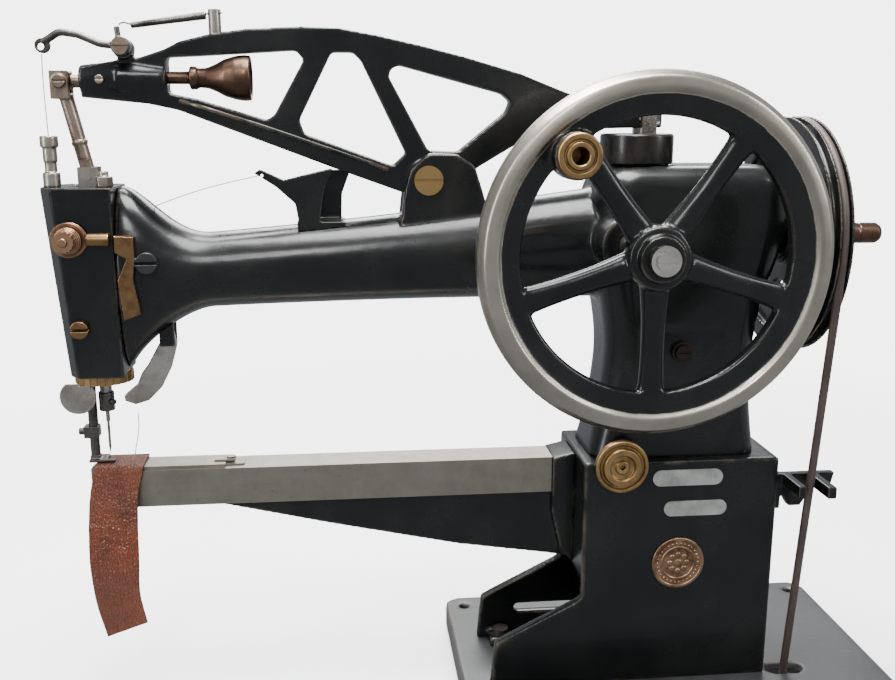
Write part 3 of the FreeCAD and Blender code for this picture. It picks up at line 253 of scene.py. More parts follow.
# ---- materials ---------------------------------------------------------------
class Shader:
    """A Principled material with short calls for the nodes that feed it."""

    def __init__(self, name, roughness=0.5, metallic=0.0, coat=0.0, coat_roughness=0.1):
        self.material = bpy.data.materials.new(name)
        self.material.use_nodes = True
        self.tree = self.material.node_tree
        self.surface = self.tree.nodes["Principled BSDF"]
        self.surface.inputs["Roughness"].default_value = roughness
        self.surface.inputs["Metallic"].default_value = metallic
        self.surface.inputs["Coat Weight"].default_value = coat
        self.surface.inputs["Coat Roughness"].default_value = coat_roughness
        self.place = self.tree.nodes.new("ShaderNodeTexCoord").outputs["Object"]
        self.height = None

    def put(self, socket, value):
        """Link a node's output, or set a plain value."""
        if isinstance(value, bpy.types.NodeSocket):
            self.tree.links.new(value, socket)
        elif isinstance(value, tuple) and len(value) == 3:
            socket.default_value = (*value, 1.0)
        else:
            socket.default_value = value

    def stretched(self, x, y, z):
        node = self.tree.nodes.new("ShaderNodeMapping")
        node.inputs["Scale"].default_value = (x, y, z)
        self.put(node.inputs["Vector"], self.place)
        return node.outputs["Vector"]

    def noise(self, scale, detail=4, rough=0.55, vector=None, distortion=0.0):
        node = self.tree.nodes.new("ShaderNodeTexNoise")
        node.inputs["Scale"].default_value = scale
        node.inputs["Detail"].default_value = detail
        node.inputs["Roughness"].default_value = rough
        node.inputs["Distortion"].default_value = distortion
        self.put(node.inputs["Vector"], vector or self.place)
        return node.outputs["Fac"]

    def cells(self, scale, vector=None, feature="DISTANCE_TO_EDGE"):
        node = self.tree.nodes.new("ShaderNodeTexVoronoi")
        node.feature = feature
        node.inputs["Scale"].default_value = scale
        self.put(node.inputs["Vector"], vector or self.place)
        return node.outputs["Distance"]

    def span(self, value, low, high, to_low=0.0, to_high=1.0):
        node = self.tree.nodes.new("ShaderNodeMapRange")
        self.put(node.inputs["Value"], value)
        node.inputs["From Min"].default_value = low
        node.inputs["From Max"].default_value = high
        node.inputs["To Min"].default_value = to_low
        node.inputs["To Max"].default_value = to_high
        return node.outputs["Result"]

    def maths(self, operation, first, second=0.0):
        node = self.tree.nodes.new("ShaderNodeMath")
        node.operation = operation
        self.put(node.inputs[0], first)
        self.put(node.inputs[1], second)
        return node.outputs[0]

    def mix(self, factor, first, second):
        node = self.tree.nodes.new("ShaderNodeMix")
        node.data_type = "RGBA"
        self.put(node.inputs[0], factor)
        self.put(node.inputs[6], first)
        self.put(node.inputs[7], second)
        return node.outputs[2]

    def edges(self, low, high):
        """One on sharp outer edges, zero on flats."""
        node = self.tree.nodes.new("ShaderNodeNewGeometry")
        return self.span(node.outputs["Pointiness"], low, high)

    def distance(self):
        node = self.tree.nodes.new("ShaderNodeVectorMath")
        node.operation = "LENGTH"
        self.put(node.inputs[0], self.place)
        return node.outputs["Value"]

    def part_of_place(self, axis):
        node = self.tree.nodes.new("ShaderNodeSeparateXYZ")
        self.put(node.inputs[0], self.place)
        return node.outputs[axis]

    def radius_about_y(self, x, z):
        node = self.tree.nodes.new("ShaderNodeSeparateXYZ")
        self.put(node.inputs[0], self.place)
        across = self.maths("SUBTRACT", node.outputs["X"], x)
        up = self.maths("SUBTRACT", node.outputs["Z"], z)
        total = self.maths("ADD", self.maths("MULTIPLY", across, across), self.maths("MULTIPLY", up, up))
        return self.maths("SQRT", total)

    def bump(self, value, distance, strength=1.0):
        node = self.tree.nodes.new("ShaderNodeBump")
        node.inputs["Distance"].default_value = distance
        node.inputs["Strength"].default_value = strength
        self.put(node.inputs["Height"], value)
        if self.height:
            self.put(node.inputs["Normal"], self.height)
        self.height = node.outputs["Normal"]
        self.put(self.surface.inputs["Normal"], self.height)

    def colour(self, value):
        self.put(self.surface.inputs["Base Color"], value)

    def rough(self, value):
        self.put(self.surface.inputs["Roughness"], value)

    def metal(self, value):
        self.put(self.surface.inputs["Metallic"], value)


def black_enamel(name="black_enamel", bright_rim=False):
    """Gloss black over cast iron: brown at worn edges, dusty and lightly scratched on the flats."""
    shader = Shader(name, coat=0.06, coat_roughness=0.06)
    shader.surface.inputs["Specular IOR Level"].default_value = 0.26
    cloud = shader.noise(14, 6, 0.6)
    speckle = shader.noise(420, 3, 0.6)
    edge = shader.edges(0.515, 0.60)
    wear = shader.maths("MULTIPLY", edge, shader.span(shader.noise(55, 5, 0.7), 0.42, 0.62))
    paint = shader.mix(shader.span(cloud, 0.4, 0.75), (0.0022, 0.0025, 0.0026), (0.0065, 0.0066, 0.0062))
    dust = shader.span(speckle, 0.66, 0.8, 0.0, 0.35)
    paint = shader.mix(dust, paint, (0.03, 0.029, 0.026))
    base = shader.mix(wear, paint, (0.10, 0.078, 0.058))
    roughness = shader.span(cloud, 0.3, 0.75, 0.17, 0.36)
    metal = shader.maths("MULTIPLY", wear, 0.6)
    if bright_rim:
        away = shader.radius_about_y(WHEEL_X * MM, SHAFT_Z * MM)
        wander = shader.maths("MULTIPLY", shader.noise(90, 3), 0.0012)
        band = shader.span(shader.maths("ADD", away, wander), WHEEL_BRIGHT_R * MM, (WHEEL_BRIGHT_R + 0.8) * MM)
        turned = shader.noise(1.0, 4, 0.6, shader.stretched(30, 900, 30))
        rim = shader.mix(shader.span(cloud, 0.35, 0.7), (0.40, 0.365, 0.315), (0.20, 0.178, 0.15))
        base = shader.mix(band, base, rim)
        metal = shader.maths("MAXIMUM", metal, band)
        roughness = shader.maths("ADD", roughness, shader.maths("MULTIPLY", band, shader.span(turned, 0, 1, -0.02, 0.16)))
    shader.colour(base)
    shader.rough(roughness)
    shader.metal(metal)
    shader.bump(shader.noise(38, 3, 0.5), 0.0005, 0.5)
    shader.bump(shader.noise(300, 3, 0.6), 0.00006, 0.5)
    return shader.material


def worn_iron():
    shader = Shader("worn_iron", coat=0.05, coat_roughness=0.3)
    cloud = shader.noise(11, 7, 0.62)
    scratch = shader.noise(1, 5, 0.7, shader.stretched(60, 420, 60), 0.4)
    edge = shader.maths("MULTIPLY", shader.edges(0.51, 0.58), shader.noise(40, 4))
    base = shader.mix(shader.span(cloud, 0.35, 0.7), (0.008, 0.0085, 0.0095), (0.028, 0.028, 0.029))
    base = shader.mix(shader.span(scratch, 0.62, 0.75, 0.0, 0.5), base, (0.16, 0.15, 0.14))
    shader.colour(shader.mix(edge, base, (0.2, 0.17, 0.14)))
    shader.rough(shader.span(cloud, 0.3, 0.75, 0.34, 0.6))
    shader.metal(shader.span(edge, 0, 1, 0.15, 0.8))
    shader.bump(shader.noise(120, 5, 0.65), 0.0003, 0.6)
    return shader.material


def worn_steel(name, bright, dull, low=0.24, high=0.46, grain=(500, 60, 500), stain=(0.10, 0.075, 0.055)):
    """Bare metal with a fine grain along one axis, dull clouds and brown stains."""
    shader = Shader(name, metallic=1.0)
    cloud = shader.noise(46, 6, 0.62)
    lines = shader.noise(1, 4, 0.7, shader.stretched(*grain))
    spots = shader.span(shader.noise(150, 5, 0.7), 0.6, 0.76)
    base = shader.mix(shader.span(cloud, 0.38, 0.68), bright, dull)
    base = shader.mix(shader.maths("MULTIPLY", spots, 0.7), base, stain)
    shader.colour(base)
    shader.rough(shader.maths("ADD", shader.span(cloud, 0.3, 0.7, low, high), shader.span(lines, 0.3, 0.7, -0.04, 0.08)))
    shader.bump(lines, 0.00004, 0.6)
    shader.bump(shader.noise(240, 4, 0.6), 0.00005, 0.5)
    return shader.material


def aged_brass(name, bright, dark, low, high):
    """Polished where hands reach, brown in the hollows."""
    shader = Shader(name, metallic=1.0)
    cloud = shader.noise(70, 6, 0.65)
    edge = shader.edges(0.49, 0.56)
    patina = shader.span(cloud, low, high)
    base = shader.mix(patina, bright, dark)
    shader.colour(shader.mix(shader.maths("MULTIPLY", edge, 0.6), base, bright))
    shader.rough(shader.span(cloud, 0.3, 0.7, 0.24, 0.5))
    shader.bump(shader.noise(320, 4, 0.6), 0.00006, 0.6)
    return shader.material


def head_trim_finish():
    """Brown brass trim with nickel fittings on top of the head and a black boss screw."""
    shader = Shader("head_trim_finish", metallic=1.0)
    cloud = shader.noise(70, 6, 0.65)
    brass = shader.mix(shader.span(cloud, 0.36, 0.66), (0.27, 0.16, 0.075), (0.07, 0.04, 0.025))
    nickel = shader.mix(shader.span(cloud, 0.36, 0.66), (0.42, 0.385, 0.34), (0.16, 0.13, 0.105))
    on_top = shader.span(shader.part_of_place("Z"), 0.3748, 0.3750)
    black = shader.span(shader.radius_about_y(BOSS_SCREW_X * MM, BOSS_SCREW_Z * MM), 0.0074, 0.0078, 1.0, 0.0)
    base = shader.mix(on_top, brass, nickel)
    shader.colour(shader.mix(black, base, (0.008, 0.008, 0.008)))
    shader.rough(shader.span(cloud, 0.3, 0.7, 0.24, 0.48))
    shader.metal(shader.span(black, 0, 1, 1.0, 0.1))
    shader.bump(shader.noise(320, 4, 0.6), 0.00006, 0.6)
    return shader.material


def scratched_alloy():
    shader = Shader("scratched_alloy", metallic=0.85)
    cloud = shader.noise(60, 5, 0.6)
    fine = shader.noise(1, 5, 0.75, shader.stretched(1500, 400, 260), 0.3)
    base = shader.mix(shader.span(cloud, 0.35, 0.7), (0.42, 0.42, 0.395), (0.22, 0.22, 0.205))
    shader.colour(shader.mix(shader.span(fine, 0.6, 0.72, 0.0, 0.7), base, (0.11, 0.105, 0.10)))
    shader.rough(shader.span(fine, 0.3, 0.7, 0.3, 0.55))
    shader.bump(fine, 0.00006, 0.8)
    return shader.material


def strap_leather():
    """Chestnut leather: fine upright wrinkles, with painted shade darkening their hollows and grooves, polished where
    it bends.
    """
    shader = Shader("strap_leather", coat=0.05, coat_roughness=0.25)
    shader.surface.inputs["Specular IOR Level"].default_value = 0.3
    wrinkles = shader.cells(560, shader.stretched(1.0, 1.0, 0.55))
    pores = shader.noise(1500, 3, 0.6)
    cloud = shader.noise(45, 5, 0.6)
    height = shader.part_of_place("Z")
    polish = shader.maths("MULTIPLY", shader.span(height, 0.095, 0.125), shader.span(height, 0.145, 0.165, 1.0, 0.0))
    # Painted shade: where the surface is concave (low pointiness) its colour is darkened halfway to near-black brown.
    hollow = shader.span(shader.edges(0.42, 0.5), 0, 1, 1, 0)
    base = shader.mix(shader.span(cloud, 0.32, 0.7), (0.105, 0.025, 0.0085), (0.06, 0.0135, 0.005))
    base = shader.mix(shader.maths("MULTIPLY", hollow, 0.5), base, (0.03, 0.007, 0.003))
    # Painted shade: the grooves between the wrinkle cells are darkened towards near-black brown.
    base = shader.mix(shader.span(wrinkles, 0.0, 0.10, 0.55, 0.0), base, (0.03, 0.007, 0.003))
    shader.colour(base)
    shader.rough(shader.maths("SUBTRACT", shader.span(cloud, 0.3, 0.7, 0.46, 0.6), shader.maths("MULTIPLY", polish, 0.2)))
    shader.bump(shader.span(wrinkles, 0.0, 0.3), 0.0007, 0.9)
    shader.bump(pores, 0.00006, 0.6)
    shader.bump(shader.noise(60, 4, 0.6, shader.stretched(0.6, 1, 2.6)), 0.0012, 0.35)
    return shader.material


def belt_leather():
    shader = Shader("belt_leather")
    along = shader.noise(1, 5, 0.7, shader.stretched(700, 700, 60))
    cloud = shader.noise(25, 5, 0.6)
    base = shader.mix(shader.span(cloud, 0.35, 0.7), (0.036, 0.021, 0.015), (0.015, 0.009, 0.007))
    shader.colour(shader.mix(shader.span(along, 0.58, 0.72, 0.0, 0.5), base, (0.07, 0.045, 0.034)))
    shader.rough(shader.span(along, 0.3, 0.7, 0.45, 0.65))
    shader.bump(along, 0.0002, 0.7)
    return shader.material


def waxed_thread():
    shader = Shader("waxed_thread")
    twist = shader.noise(1, 2, 0.5, shader.stretched(900, 900, 2600))
    shader.colour(shader.mix(twist, (0.16, 0.13, 0.10), (0.34, 0.29, 0.23)))
    shader.rough(shader.span(twist, 0.3, 0.7, 0.45, 0.65))
    shader.bump(twist, 0.00015, 0.8)
    return shader.material


def make_materials():
    return {
        "black_enamel": black_enamel(),
        "wheel": black_enamel("wheel_enamel_and_steel", bright_rim=True),
        "dark_plate": worn_iron(),
        "steel": worn_steel("worn_steel", (0.34, 0.32, 0.29), (0.13, 0.118, 0.10)),
        "dark_steel": worn_steel("dark_steel", (0.13, 0.12, 0.11), (0.045, 0.04, 0.036), 0.28, 0.5),
        "brown_steel": worn_steel("brown_steel", (0.27, 0.215, 0.17), (0.095, 0.066, 0.048), 0.28, 0.5),
        "brushed_bar": worn_steel("brushed_bar", (0.27, 0.248, 0.21), (0.20, 0.18, 0.15), 0.3, 0.46, (14, 900, 900)),
        "nickel": worn_steel("worn_nickel", (0.44, 0.41, 0.37), (0.235, 0.21, 0.18), 0.16, 0.32),
        "bright_nickel": worn_steel("bright_nickel", (0.60, 0.57, 0.53), (0.36, 0.33, 0.29), 0.14, 0.28),
        "brass": aged_brass("aged_brass", (0.38, 0.245, 0.105), (0.11, 0.065, 0.034), 0.36, 0.66),
        "aged_bronze": aged_brass("brown_bronze", (0.13, 0.078, 0.053), (0.04, 0.023, 0.017), 0.32, 0.62),
        "dark_bronze": aged_brass("dark_bronze", (0.05, 0.038, 0.03), (0.016, 0.013, 0.011), 0.32, 0.62),
        "head_trim": head_trim_finish(),
        "plate_alloy": scratched_alloy(),
        "copper_badge": aged_brass("worn_copper", (0.34, 0.205, 0.125), (0.09, 0.05, 0.031), 0.40, 0.60),
        "strap_leather": strap_leather(),
        "belt_leather": belt_leather(),
        "thread": waxed_thread(),
    }


# ---- cords ---------------------------------------------------------------------
def nurbs(name, points, radius=0.0):
    data = bpy.data.curves.new(name, "CURVE")
    data.dimensions = "3D"
    data.resolution_u = 10
    data.bevel_depth = 1.0 if radius else 0.0
    data.bevel_resolution = 4
    spline = data.splines.new("NURBS")
    spline.points.add(len(points) - 1)
    for item, point in zip(spline.points, points):
        item.co = (*metres(point), 1.0)
        item.radius = radius * MM
    spline.order_u = 3
    spline.use_endpoint_u = True
    return add_object(name, data)


def line_of(points):
    """Points along the NURBS spline of a route, in metres."""
    curve = nurbs("route", points)
    graph = bpy.context.evaluated_depsgraph_get()
    mesh = bpy.data.meshes.new_from_object(curve.evaluated_get(graph))
    line = [vertex.co.copy() for vertex in mesh.vertices]
    bpy.data.objects.remove(curve)
    bpy.data.meshes.remove(mesh)
    return line


def swept(name, line, radius, sides=8):
    """Closed tube along a line of points in metres."""
    grid = bmesh.new()
    rings = []
    normal = None
    for index, point in enumerate(line):
        ahead = line[min(index + 1, len(line) - 1)]
        behind = line[max(index - 1, 0)]
        run = (ahead - behind).normalized()
        if normal is None:
            normal = run.orthogonal().normalized()
        normal = (normal - run * normal.dot(run)).normalized()
        side = run.cross(normal)
        turns = [2 * math.pi * step / sides for step in range(sides)]
        rings.append([grid.verts.new(point + (normal * math.cos(a) + side * math.sin(a)) * radius) for a in turns])
    for first, second in zip(rings, rings[1:]):
        for step in range(sides):
            after = (step + 1) % sides
            grid.faces.new((first[step], first[after], second[after], second[step]))
    grid.faces.new(list(reversed(rings[0])))
    grid.faces.new(rings[-1])
    mesh = bpy.data.meshes.new(name)
    grid.to_mesh(mesh)
    grid.free()
    smooth_faces(mesh)
    return add_object(name, mesh)


def make_belt(material):
    belt = nurbs("round_belt", BELT_ROUTE, BELT_R)
    settle(belt, "root", material)
    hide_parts("drive_belt")


def make_threads(material):
    for name, route, end, hold in (("guide", GUIDE_ROUTE, "object", "limp"), ("tail", TAIL_ROUTE, "bare", "stiff")):
        thread = nurbs(name + "_strand", route, THREAD_R)
        settle(thread, "root", material)
        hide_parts(name + "_thread")
    line = line_of(TAKE_UP_ROUTE)
    thread = swept("take_up_strand", line, THREAD_R * MM)
    settle(thread, "root", material)
    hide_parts("take_up_thread")
    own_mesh(thread)


# ---- castings --------------------------------------------------------------------
def round_off(piece, voxel, passes):
    remesh = piece.modifiers.new("remesh", "REMESH")
    remesh.mode = "VOXEL"
    remesh.voxel_size = voxel * MM
    relax = piece.modifiers.new("relax", "SMOOTH")
    relax.factor = 0.5
    relax.iterations = passes
    smooth_faces(applied(piece))


def soften(node, voxel, passes, material):
    """The CAD solid with a foundry's rounded edges and filled corners."""
    piece = add_object(node + "_cast", frame["nodes"][node].data.copy())
    round_off(piece, voxel, passes)
    settle(piece, body_of_node(node), material)
    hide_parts(node)
    return piece


# ---- springs -----------------------------------------------------------------------
def helix(start, end, radius_a, radius_b, turns, steps=14):
    """Points of a coil about the line from start to end, in metres."""
    axis = end - start
    across = axis.orthogonal().normalized()
    other = axis.normalized().cross(across)
    line = []
    for index in range(int(turns * steps) + 1):
        share = index / (turns * steps)
        angle = 2 * math.pi * index / steps
        radius = radius_a + (radius_b - radius_a) * share
        line.append(start + axis * share + (across * math.cos(angle) + other * math.sin(angle)) * radius)
    return line


def make_take_up_spring(material):
    """Close-wound spring, thicker at its right end, with a hook at the lever and a loop round the post."""
    start = metres((-350.5, -0.8, 475.7))
    end = metres((-303.6, 0, 482.4))
    hook = [(-356.0, -9.8, 475.4), (-355.2, -7.6, 476.6), (-353.6, -4.2, 477.2), (-351.8, -1.4, 476.6)]
    loop = [(-302.9, 1.2, 483.4), (-301.3, 3.4, 483.9), (-298, 4.7, 484), (-294.7, 3.3, 484), (-293.4, 0, 484),
            (-294.8, -3.3, 483.8)]
    line = [metres(point) for point in hook] + helix(start, end, 1.5 * MM, 2.15 * MM, 42)
    line += [metres(point) for point in loop]
    spring = swept("take_up_coil", line, 0.56 * MM, 6)
    settle(spring, "needle_lever", material)
    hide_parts("take_up_spring")


# ---- leather strap -----------------------------------------------------------------
STRAP_WIDTH = 33.0
STRAP_BACK_Y = 12.0
STRAP_FRONT_Y = -15.4
STRAP_TOP_Z = 184.5
STRAP_LOW_Z = 66.0
STRAP_HALF = 0.9
STRAP_BEND = 4.0
# (drop below the bend, x) of the strap's two edges: it is drawn in over the arm and leans as it hangs
STRAP_LEFT = [(-30, -391.5), (-8, -391.5), (0, -392), (12, -394.2), (30, -396), (60, -397), (90, -394.5),
              (118, -388.5)]
STRAP_RIGHT = [(-30, -359), (-8, -359), (0, -359.5), (12, -362.3), (30, -363.4), (60, -364.2), (90, -365.5),
               (118, -362)]


def on_curve(points, value):
    """Smooth curve through (value, height) points."""
    index = 1
    while index < len(points) - 2 and value > points[index + 1][0]:
        index += 1
    before, start, end = points[index - 1], points[index], points[index + 1]
    after = points[min(index + 2, len(points) - 1)]
    if value <= start[0]:
        return start[1]
    share = min(1.0, (value - start[0]) / (end[0] - start[0]))
    slope_a = (end[1] - before[1]) / (end[0] - before[0])
    slope_b = (after[1] - start[1]) / max(after[0] - start[0], 1e-6)
    run = end[0] - start[0]
    bend = share * share * (3 - 2 * share)
    lead = share * (1 - share) ** 2
    trail = -share * share * (1 - share)
    return start[1] * (1 - bend) + end[1] * bend + run * (slope_a * lead + slope_b * trail)


def strap_point(share_across, along):
    """Middle surface of the strap and its outward direction: over the arm, round the bend and down. mm."""
    flat_run = STRAP_BACK_Y - STRAP_FRONT_Y - STRAP_BEND
    bend_run = STRAP_BEND * math.pi / 2
    drop = along - flat_run - bend_run
    left = on_curve(STRAP_LEFT, drop)
    right = on_curve(STRAP_RIGHT, drop)
    x = left + (right - left) * (share_across + 0.5)
    if along < flat_run:
        return Vector((x, STRAP_BACK_Y - along, STRAP_TOP_Z)), Vector((0, 0, 1))
    if along < flat_run + bend_run:
        angle = (along - flat_run) / STRAP_BEND
        y = STRAP_FRONT_Y + STRAP_BEND * (1 - math.sin(angle))
        z = STRAP_TOP_Z - STRAP_BEND * (1 - math.cos(angle))
        return Vector((x, y, z)), Vector((0, -math.sin(angle), math.cos(angle)))
    share = drop / (STRAP_TOP_Z - STRAP_BEND - STRAP_LOW_Z)
    bulge = -4.5 * math.sin(math.pi * share) - 3.0 * share
    twist = share_across * 6.0 * share ** 2
    cup = 2.4 * (1 - 4 * share_across ** 2) * math.sin(math.pi * min(1, share * 1.1))
    skew = -share_across * 6.5 * share ** 2
    y = STRAP_FRONT_Y + bulge - cup * 0.5 + twist
    return Vector((x, y, STRAP_TOP_Z - STRAP_BEND - drop - skew)), Vector((0, -1, 0))


def crease(share_across, along):
    """Soft ridges and sharp folds that run across the strap. mm."""
    total = 0.0
    for centre, width, depth, slope in ((52, 3.0, 0.7, 0.22), (60, 2.2, -0.8, -0.15), (68, 2.6, 0.75, 0.1),
                                        (78, 2.4, -0.7, 0.3), (86, 3.4, 0.6, -0.2), (101, 4.0, -0.5, 0.12),
                                        (38, 3.0, -0.45, -0.25), (117, 5.0, 0.45, 0.1)):
        wander = 2.2 * noise.noise(Vector((share_across * 3.1, centre * 0.37, 0.0)))
        away = (along - centre - slope * share_across * STRAP_WIDTH - wander) / width
        fade = 0.55 + 0.45 * noise.noise(Vector((share_across * 2.7, centre * 1.3, 5.0)))
        total += depth * fade * math.exp(-away * away)
    total += 0.35 * noise.noise(Vector((share_across * 6, along * 0.11, 2.0)))
    return total


def make_strap(material):
    across = 44
    length = 150
    flat_run = STRAP_BACK_Y - STRAP_FRONT_Y - STRAP_BEND
    whole = flat_run + STRAP_BEND * math.pi / 2 + STRAP_TOP_Z - STRAP_BEND - STRAP_LOW_Z
    grid = bmesh.new()
    rows = []
    for row in range(length + 1):
        along = whole * row / length
        ramp = min(1.0, max(0.0, (along - flat_run - 2) / 14))
        line = []
        for column in range(across + 1):
            share_across = column / across - 0.5
            point, normal = strap_point(share_across, along)
            line.append(grid.verts.new((point + normal * crease(share_across, along) * ramp) * MM))
        rows.append(line)
    for lower, upper in zip(rows, rows[1:]):
        for column in range(across):
            corners = (lower[column], upper[column], upper[column + 1], lower[column + 1])
            middle = sum((vertex.co for vertex in corners), Vector()) / 4
            beside_needle = math.hypot(middle.x + 0.383, middle.y) < 1.5 * MM and middle.z > 0.18
            if not beside_needle:
                grid.faces.new(corners)
    mesh = bpy.data.meshes.new("strap")
    grid.to_mesh(mesh)
    grid.free()
    strap = add_object("strap", mesh)
    solid = strap.modifiers.new("thickness", "SOLIDIFY")
    solid.thickness = 2 * STRAP_HALF * MM
    solid.offset = 0.0
    edge = strap.modifiers.new("edge", "BEVEL")
    edge.width = 0.35 * MM
    edge.segments = 2
    edge.limit_method = "ANGLE"
    smooth_faces(applied(strap))
    settle(strap, "root", material)
    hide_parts("leather_strap")


# ---- turned and cut details -----------------------------------------------------------
def stand_for(piece, node, material):
    settle(piece, body_of_node(node), material)
    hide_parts(node)


def ring_turned(name, corners, base, axis, rounding=0.5, steps=64):
    """A lathe-turned ring: corners run round its section and close. mm."""
    line = rounded_profile(corners + corners[:2], rounding)[1:-1]
    profile = [(radius * MM, along * MM) for radius, along in line]
    return add_object(name, turned_mesh(name, profile, metres(base), Vector(axis), steps, closed=True))


def joined(name, pieces):
    """One object from several."""
    grid = bmesh.new()
    for piece in pieces:
        grid.from_mesh(piece.data)
        bpy.data.objects.remove(piece)
    mesh = bpy.data.meshes.new(name)
    grid.to_mesh(mesh)
    grid.free()
    smooth_faces(mesh)
    return add_object(name, mesh)


def make_cap(material):
    corners = [(10.5, 376.5), (20.5, 376.5), (20.5, 386.6), (25, 388.2), (25, 406.8), (23.8, 408), (17, 408),
               (17, 398.5), (10.5, 398.5)]
    stand_for(ring_turned("cap", corners, (-17, 0, 0), (0, 0, 1), 0.7), "top_cap", material)


def make_bush(material):
    angle = math.radians(131.0)
    base = (WHEEL_X + 79 * math.cos(angle), 0, SHAFT_Z + 79 * math.sin(angle))
    corners = [(0, -109), (5, -109), (5, -130.4), (5.6, -131), (7.6, -131), (8.2, -129.4), (9.2, -129.4),
               (9.8, -130.6), (12.2, -130.6), (13, -129.8), (13, -126.3), (10.45, -126.1), (10.45, -107.2), (0, -107.2)]
    stand_for(turned("bush", corners, base, (0, 1, 0), 0.3), "handle_bush", material)


def make_knob(material):
    corners = [(0, -370), (4, -370), (4, -335), (4.0, -316), (7.4, -315), (7.4, -311), (6.2, -309.5), (6.6, -304),
               (8.6, -299), (11.8, -293), (13.9, -286), (14.6, -280), (14.2, -276.6), (12.8, -276.1), (10.5, -281),
               (5, -287), (0, -288)]
    stand_for(turned("bell_grip", corners, (0, 0, 443.5), (1, 0, 0), 1.0), "stroke_knob", material)


def make_badge(material):
    """Round badge with a beaded ring and an eight-petal rosette in relief."""
    base = (12, 0, 110.5)
    corners = [(0, -45), (0, -45.95), (11.0, -45.95), (11.4, -46.4), (12.2, -46.4), (12.6, -45.95), (16.6, -45.95),
               (17.0, -46.4), (18.6, -46.4), (19, -46.0), (19, -45.0)]
    pieces = [turned("badge_disc", corners[1:], base, (0, 1, 0), 0.15, 96)]
    bead = [(0, -46.55), (0.55, -46.4), (0.85, -45.9)]
    for index in range(30):
        angle = 2 * math.pi * index / 30
        place = (12 + 14.6 * math.cos(angle), 0, 110.5 + 14.6 * math.sin(angle))
        pieces.append(turned("bead", bead, place, (0, 1, 0), 0.1, 10))
    for index in range(8):
        angle = 2 * math.pi * index / 8
        place = (12 + 6.2 * math.cos(angle), 0, 110.5 + 6.2 * math.sin(angle))
        pieces.append(turned("petal", [(0, -46.6), (1.4, -46.45), (2.1, -45.9)], place, (0, 1, 0), 0.2, 16))
    pieces.append(turned("heart", [(0, -46.7), (2.0, -46.5), (2.9, -45.9)], base, (0, 1, 0), 0.3, 24))
    stand_for(joined("badge", pieces), "round_badge", material)


def make_bearing_disc(material):
    """Raised rim, ring and hollow centre of the brass disc on the block."""
    corners = [(0, -46), (2, -46), (2, -50.2), (4.4, -50.6), (5.2, -49.2), (8.2, -49.2), (9.2, -51.6), (13, -51.6),
               (14, -48.4), (15.2, -48.4), (16.2, -49.8), (18, -49.8), (18.6, -49), (18.6, -45), (0, -45)]
    stand_for(turned("ringed_disc", corners, (-32, 0, 184.5), (0, 1, 0), 0.4, 96), "bearing_disc", material)


def make_tension(material):
    """Two dished discs, a stud and a cone-wound spring."""
    base = (-392, 0, 342.5)
    pieces = []
    for front, rim in ((-31.4, -32.2), (-28.4, -27.7)):
        pieces.append(ring_turned("disc", [(3.1, front), (8.2, front), (11, rim), (11.2, rim + 0.5), (8.0, front + 0.8),
                                           (3.1, front + 0.8)], base, (0, 1, 0), 0.3))
    pieces.append(turned("stud", [(0, -46), (2.4, -46), (2.9, -45.4), (2.9, -15), (0, -15)], base, (0, 1, 0), 0.2, 24))
    line = helix(metres((-392, -32.6, 342.5)), metres((-392, -38.0, 342.5)), 8.3 * MM, 5.2 * MM, 4.2, 28)
    pieces.append(swept("spring", line, 0.62 * MM, 8))
    stand_for(joined("tension_unit", pieces), "thread_tension", material)


LIFTER_OUTLINE = [(-335, 276), (-333.4, 267), (-338, 251), (-345, 237.5), (-354, 228.5), (-363, 225.8), (-370.2, 228.4),
                  (-370.6, 232.4), (-361.5, 239.8), (-357.8, 248), (-353.2, 254), (-348.7, 262), (-344.7, 269),
                  (-340.5, 275.5)]


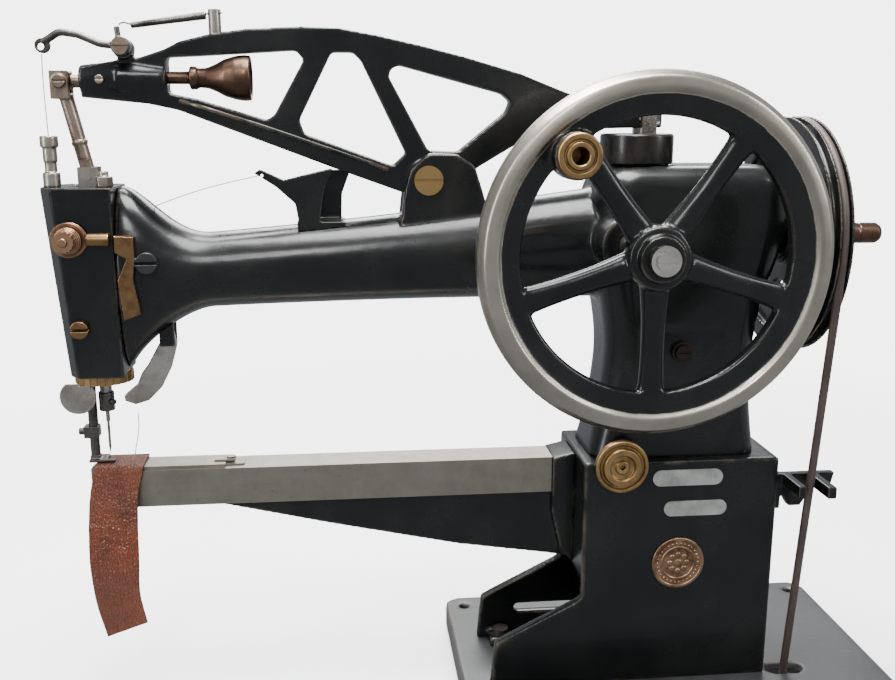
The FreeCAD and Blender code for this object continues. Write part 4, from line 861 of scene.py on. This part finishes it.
def make_lifter(material):
    """Leaf-shaped nickel lever with rounded edges."""
    grid = bmesh.new()
    front = [grid.verts.new(metres((x, -3.2, z))) for x, z in LIFTER_OUTLINE]
    back = [grid.verts.new(metres((x, 3.2, z))) for x, z in LIFTER_OUTLINE]
    grid.faces.new(front)
    grid.faces.new(list(reversed(back)))
    count = len(front)
    for index in range(count):
        after = (index + 1) % count
        grid.faces.new((front[index], back[index], back[after], front[after]))
    bmesh.ops.recalc_face_normals(grid, faces=grid.faces)
    mesh = bpy.data.meshes.new("lifter_leaf")
    grid.to_mesh(mesh)
    grid.free()
    leaf = add_object("lifter_leaf", mesh)
    round_off(leaf, 0.5, 10)
    stand_for(leaf, "presser_lifter", material)


def make_lever_beads(material):
    """Raised bead along both faces of the lever's lower chord."""
    line = [(-322, 429), (-300, 422.5), (-270, 413), (-235, 401), (-200, 389), (-188, 384.5)]
    pieces = []
    for side in (-1, 1):
        points = [metres((x, side * 6.6, z)) for x, z in line]
        pieces.append(swept("bead_run", points, 1.5 * MM, 10))
    beads = joined("lever_beads", pieces)
    settle(beads, "needle_lever", material)


def make_details(materials):
    make_cap(materials["black_enamel"])
    make_bush(materials["brass"])
    make_knob(materials["aged_bronze"])
    make_badge(materials["copper_badge"])
    make_bearing_disc(materials["brass"])
    make_tension(materials["copper_badge"])
    make_lifter(materials["nickel"])
    make_lever_beads(materials["black_enamel"])


# ---- everything ------------------------------------------------------------------------
FINISHES = {
    "arm_tube": "brushed_bar", "slide_plate": "brushed_bar", "needle_plate": "brushed_bar", "flywheel": "wheel",
    "needle_link": "brown_steel", "rod_eye": "brown_steel", "take_up_lever": "dark_steel",
    "take_up_screw": "brown_steel", "take_up_spring": "dark_steel", "needle_clamp": "dark_steel",
    "presser_bar": "dark_steel", "presser_foot": "dark_steel", "oil_plug": "dark_bronze", "head_trim": "head_trim",
    "hub_bolt": "bright_nickel", "base_bolts": "dark_steel", "cam_rod": "bright_nickel", "spring_post": "steel",
    "tension_nut": "copper_badge", "turning_sleeve": "dark_steel",
}


def finish_of(node):
    return FINISHES.get(node, slot_of_node(node))


def finish_cad_nodes(materials):
    """Procedural finishes for the CAD pieces that stay as they are."""
    for node, piece in frame["nodes"].items():
        for slot in piece.material_slots:
            slot.material = materials[finish_of(node)]


def main():
    make_camera()
    materials = make_materials()
    make_belt(materials["belt_leather"])
    make_threads(materials["thread"])
    make_world()
    make_lights()
    make_floor()
    for node, (voxel, passes) in CASTINGS.items():
        soften(node, voxel, passes, materials[finish_of(node)])
    make_take_up_spring(materials["dark_steel"])
    make_details(materials)
    make_strap(materials["strap_leather"])
    finish_cad_nodes(materials)


main()
bpy.context.view_layer.update()
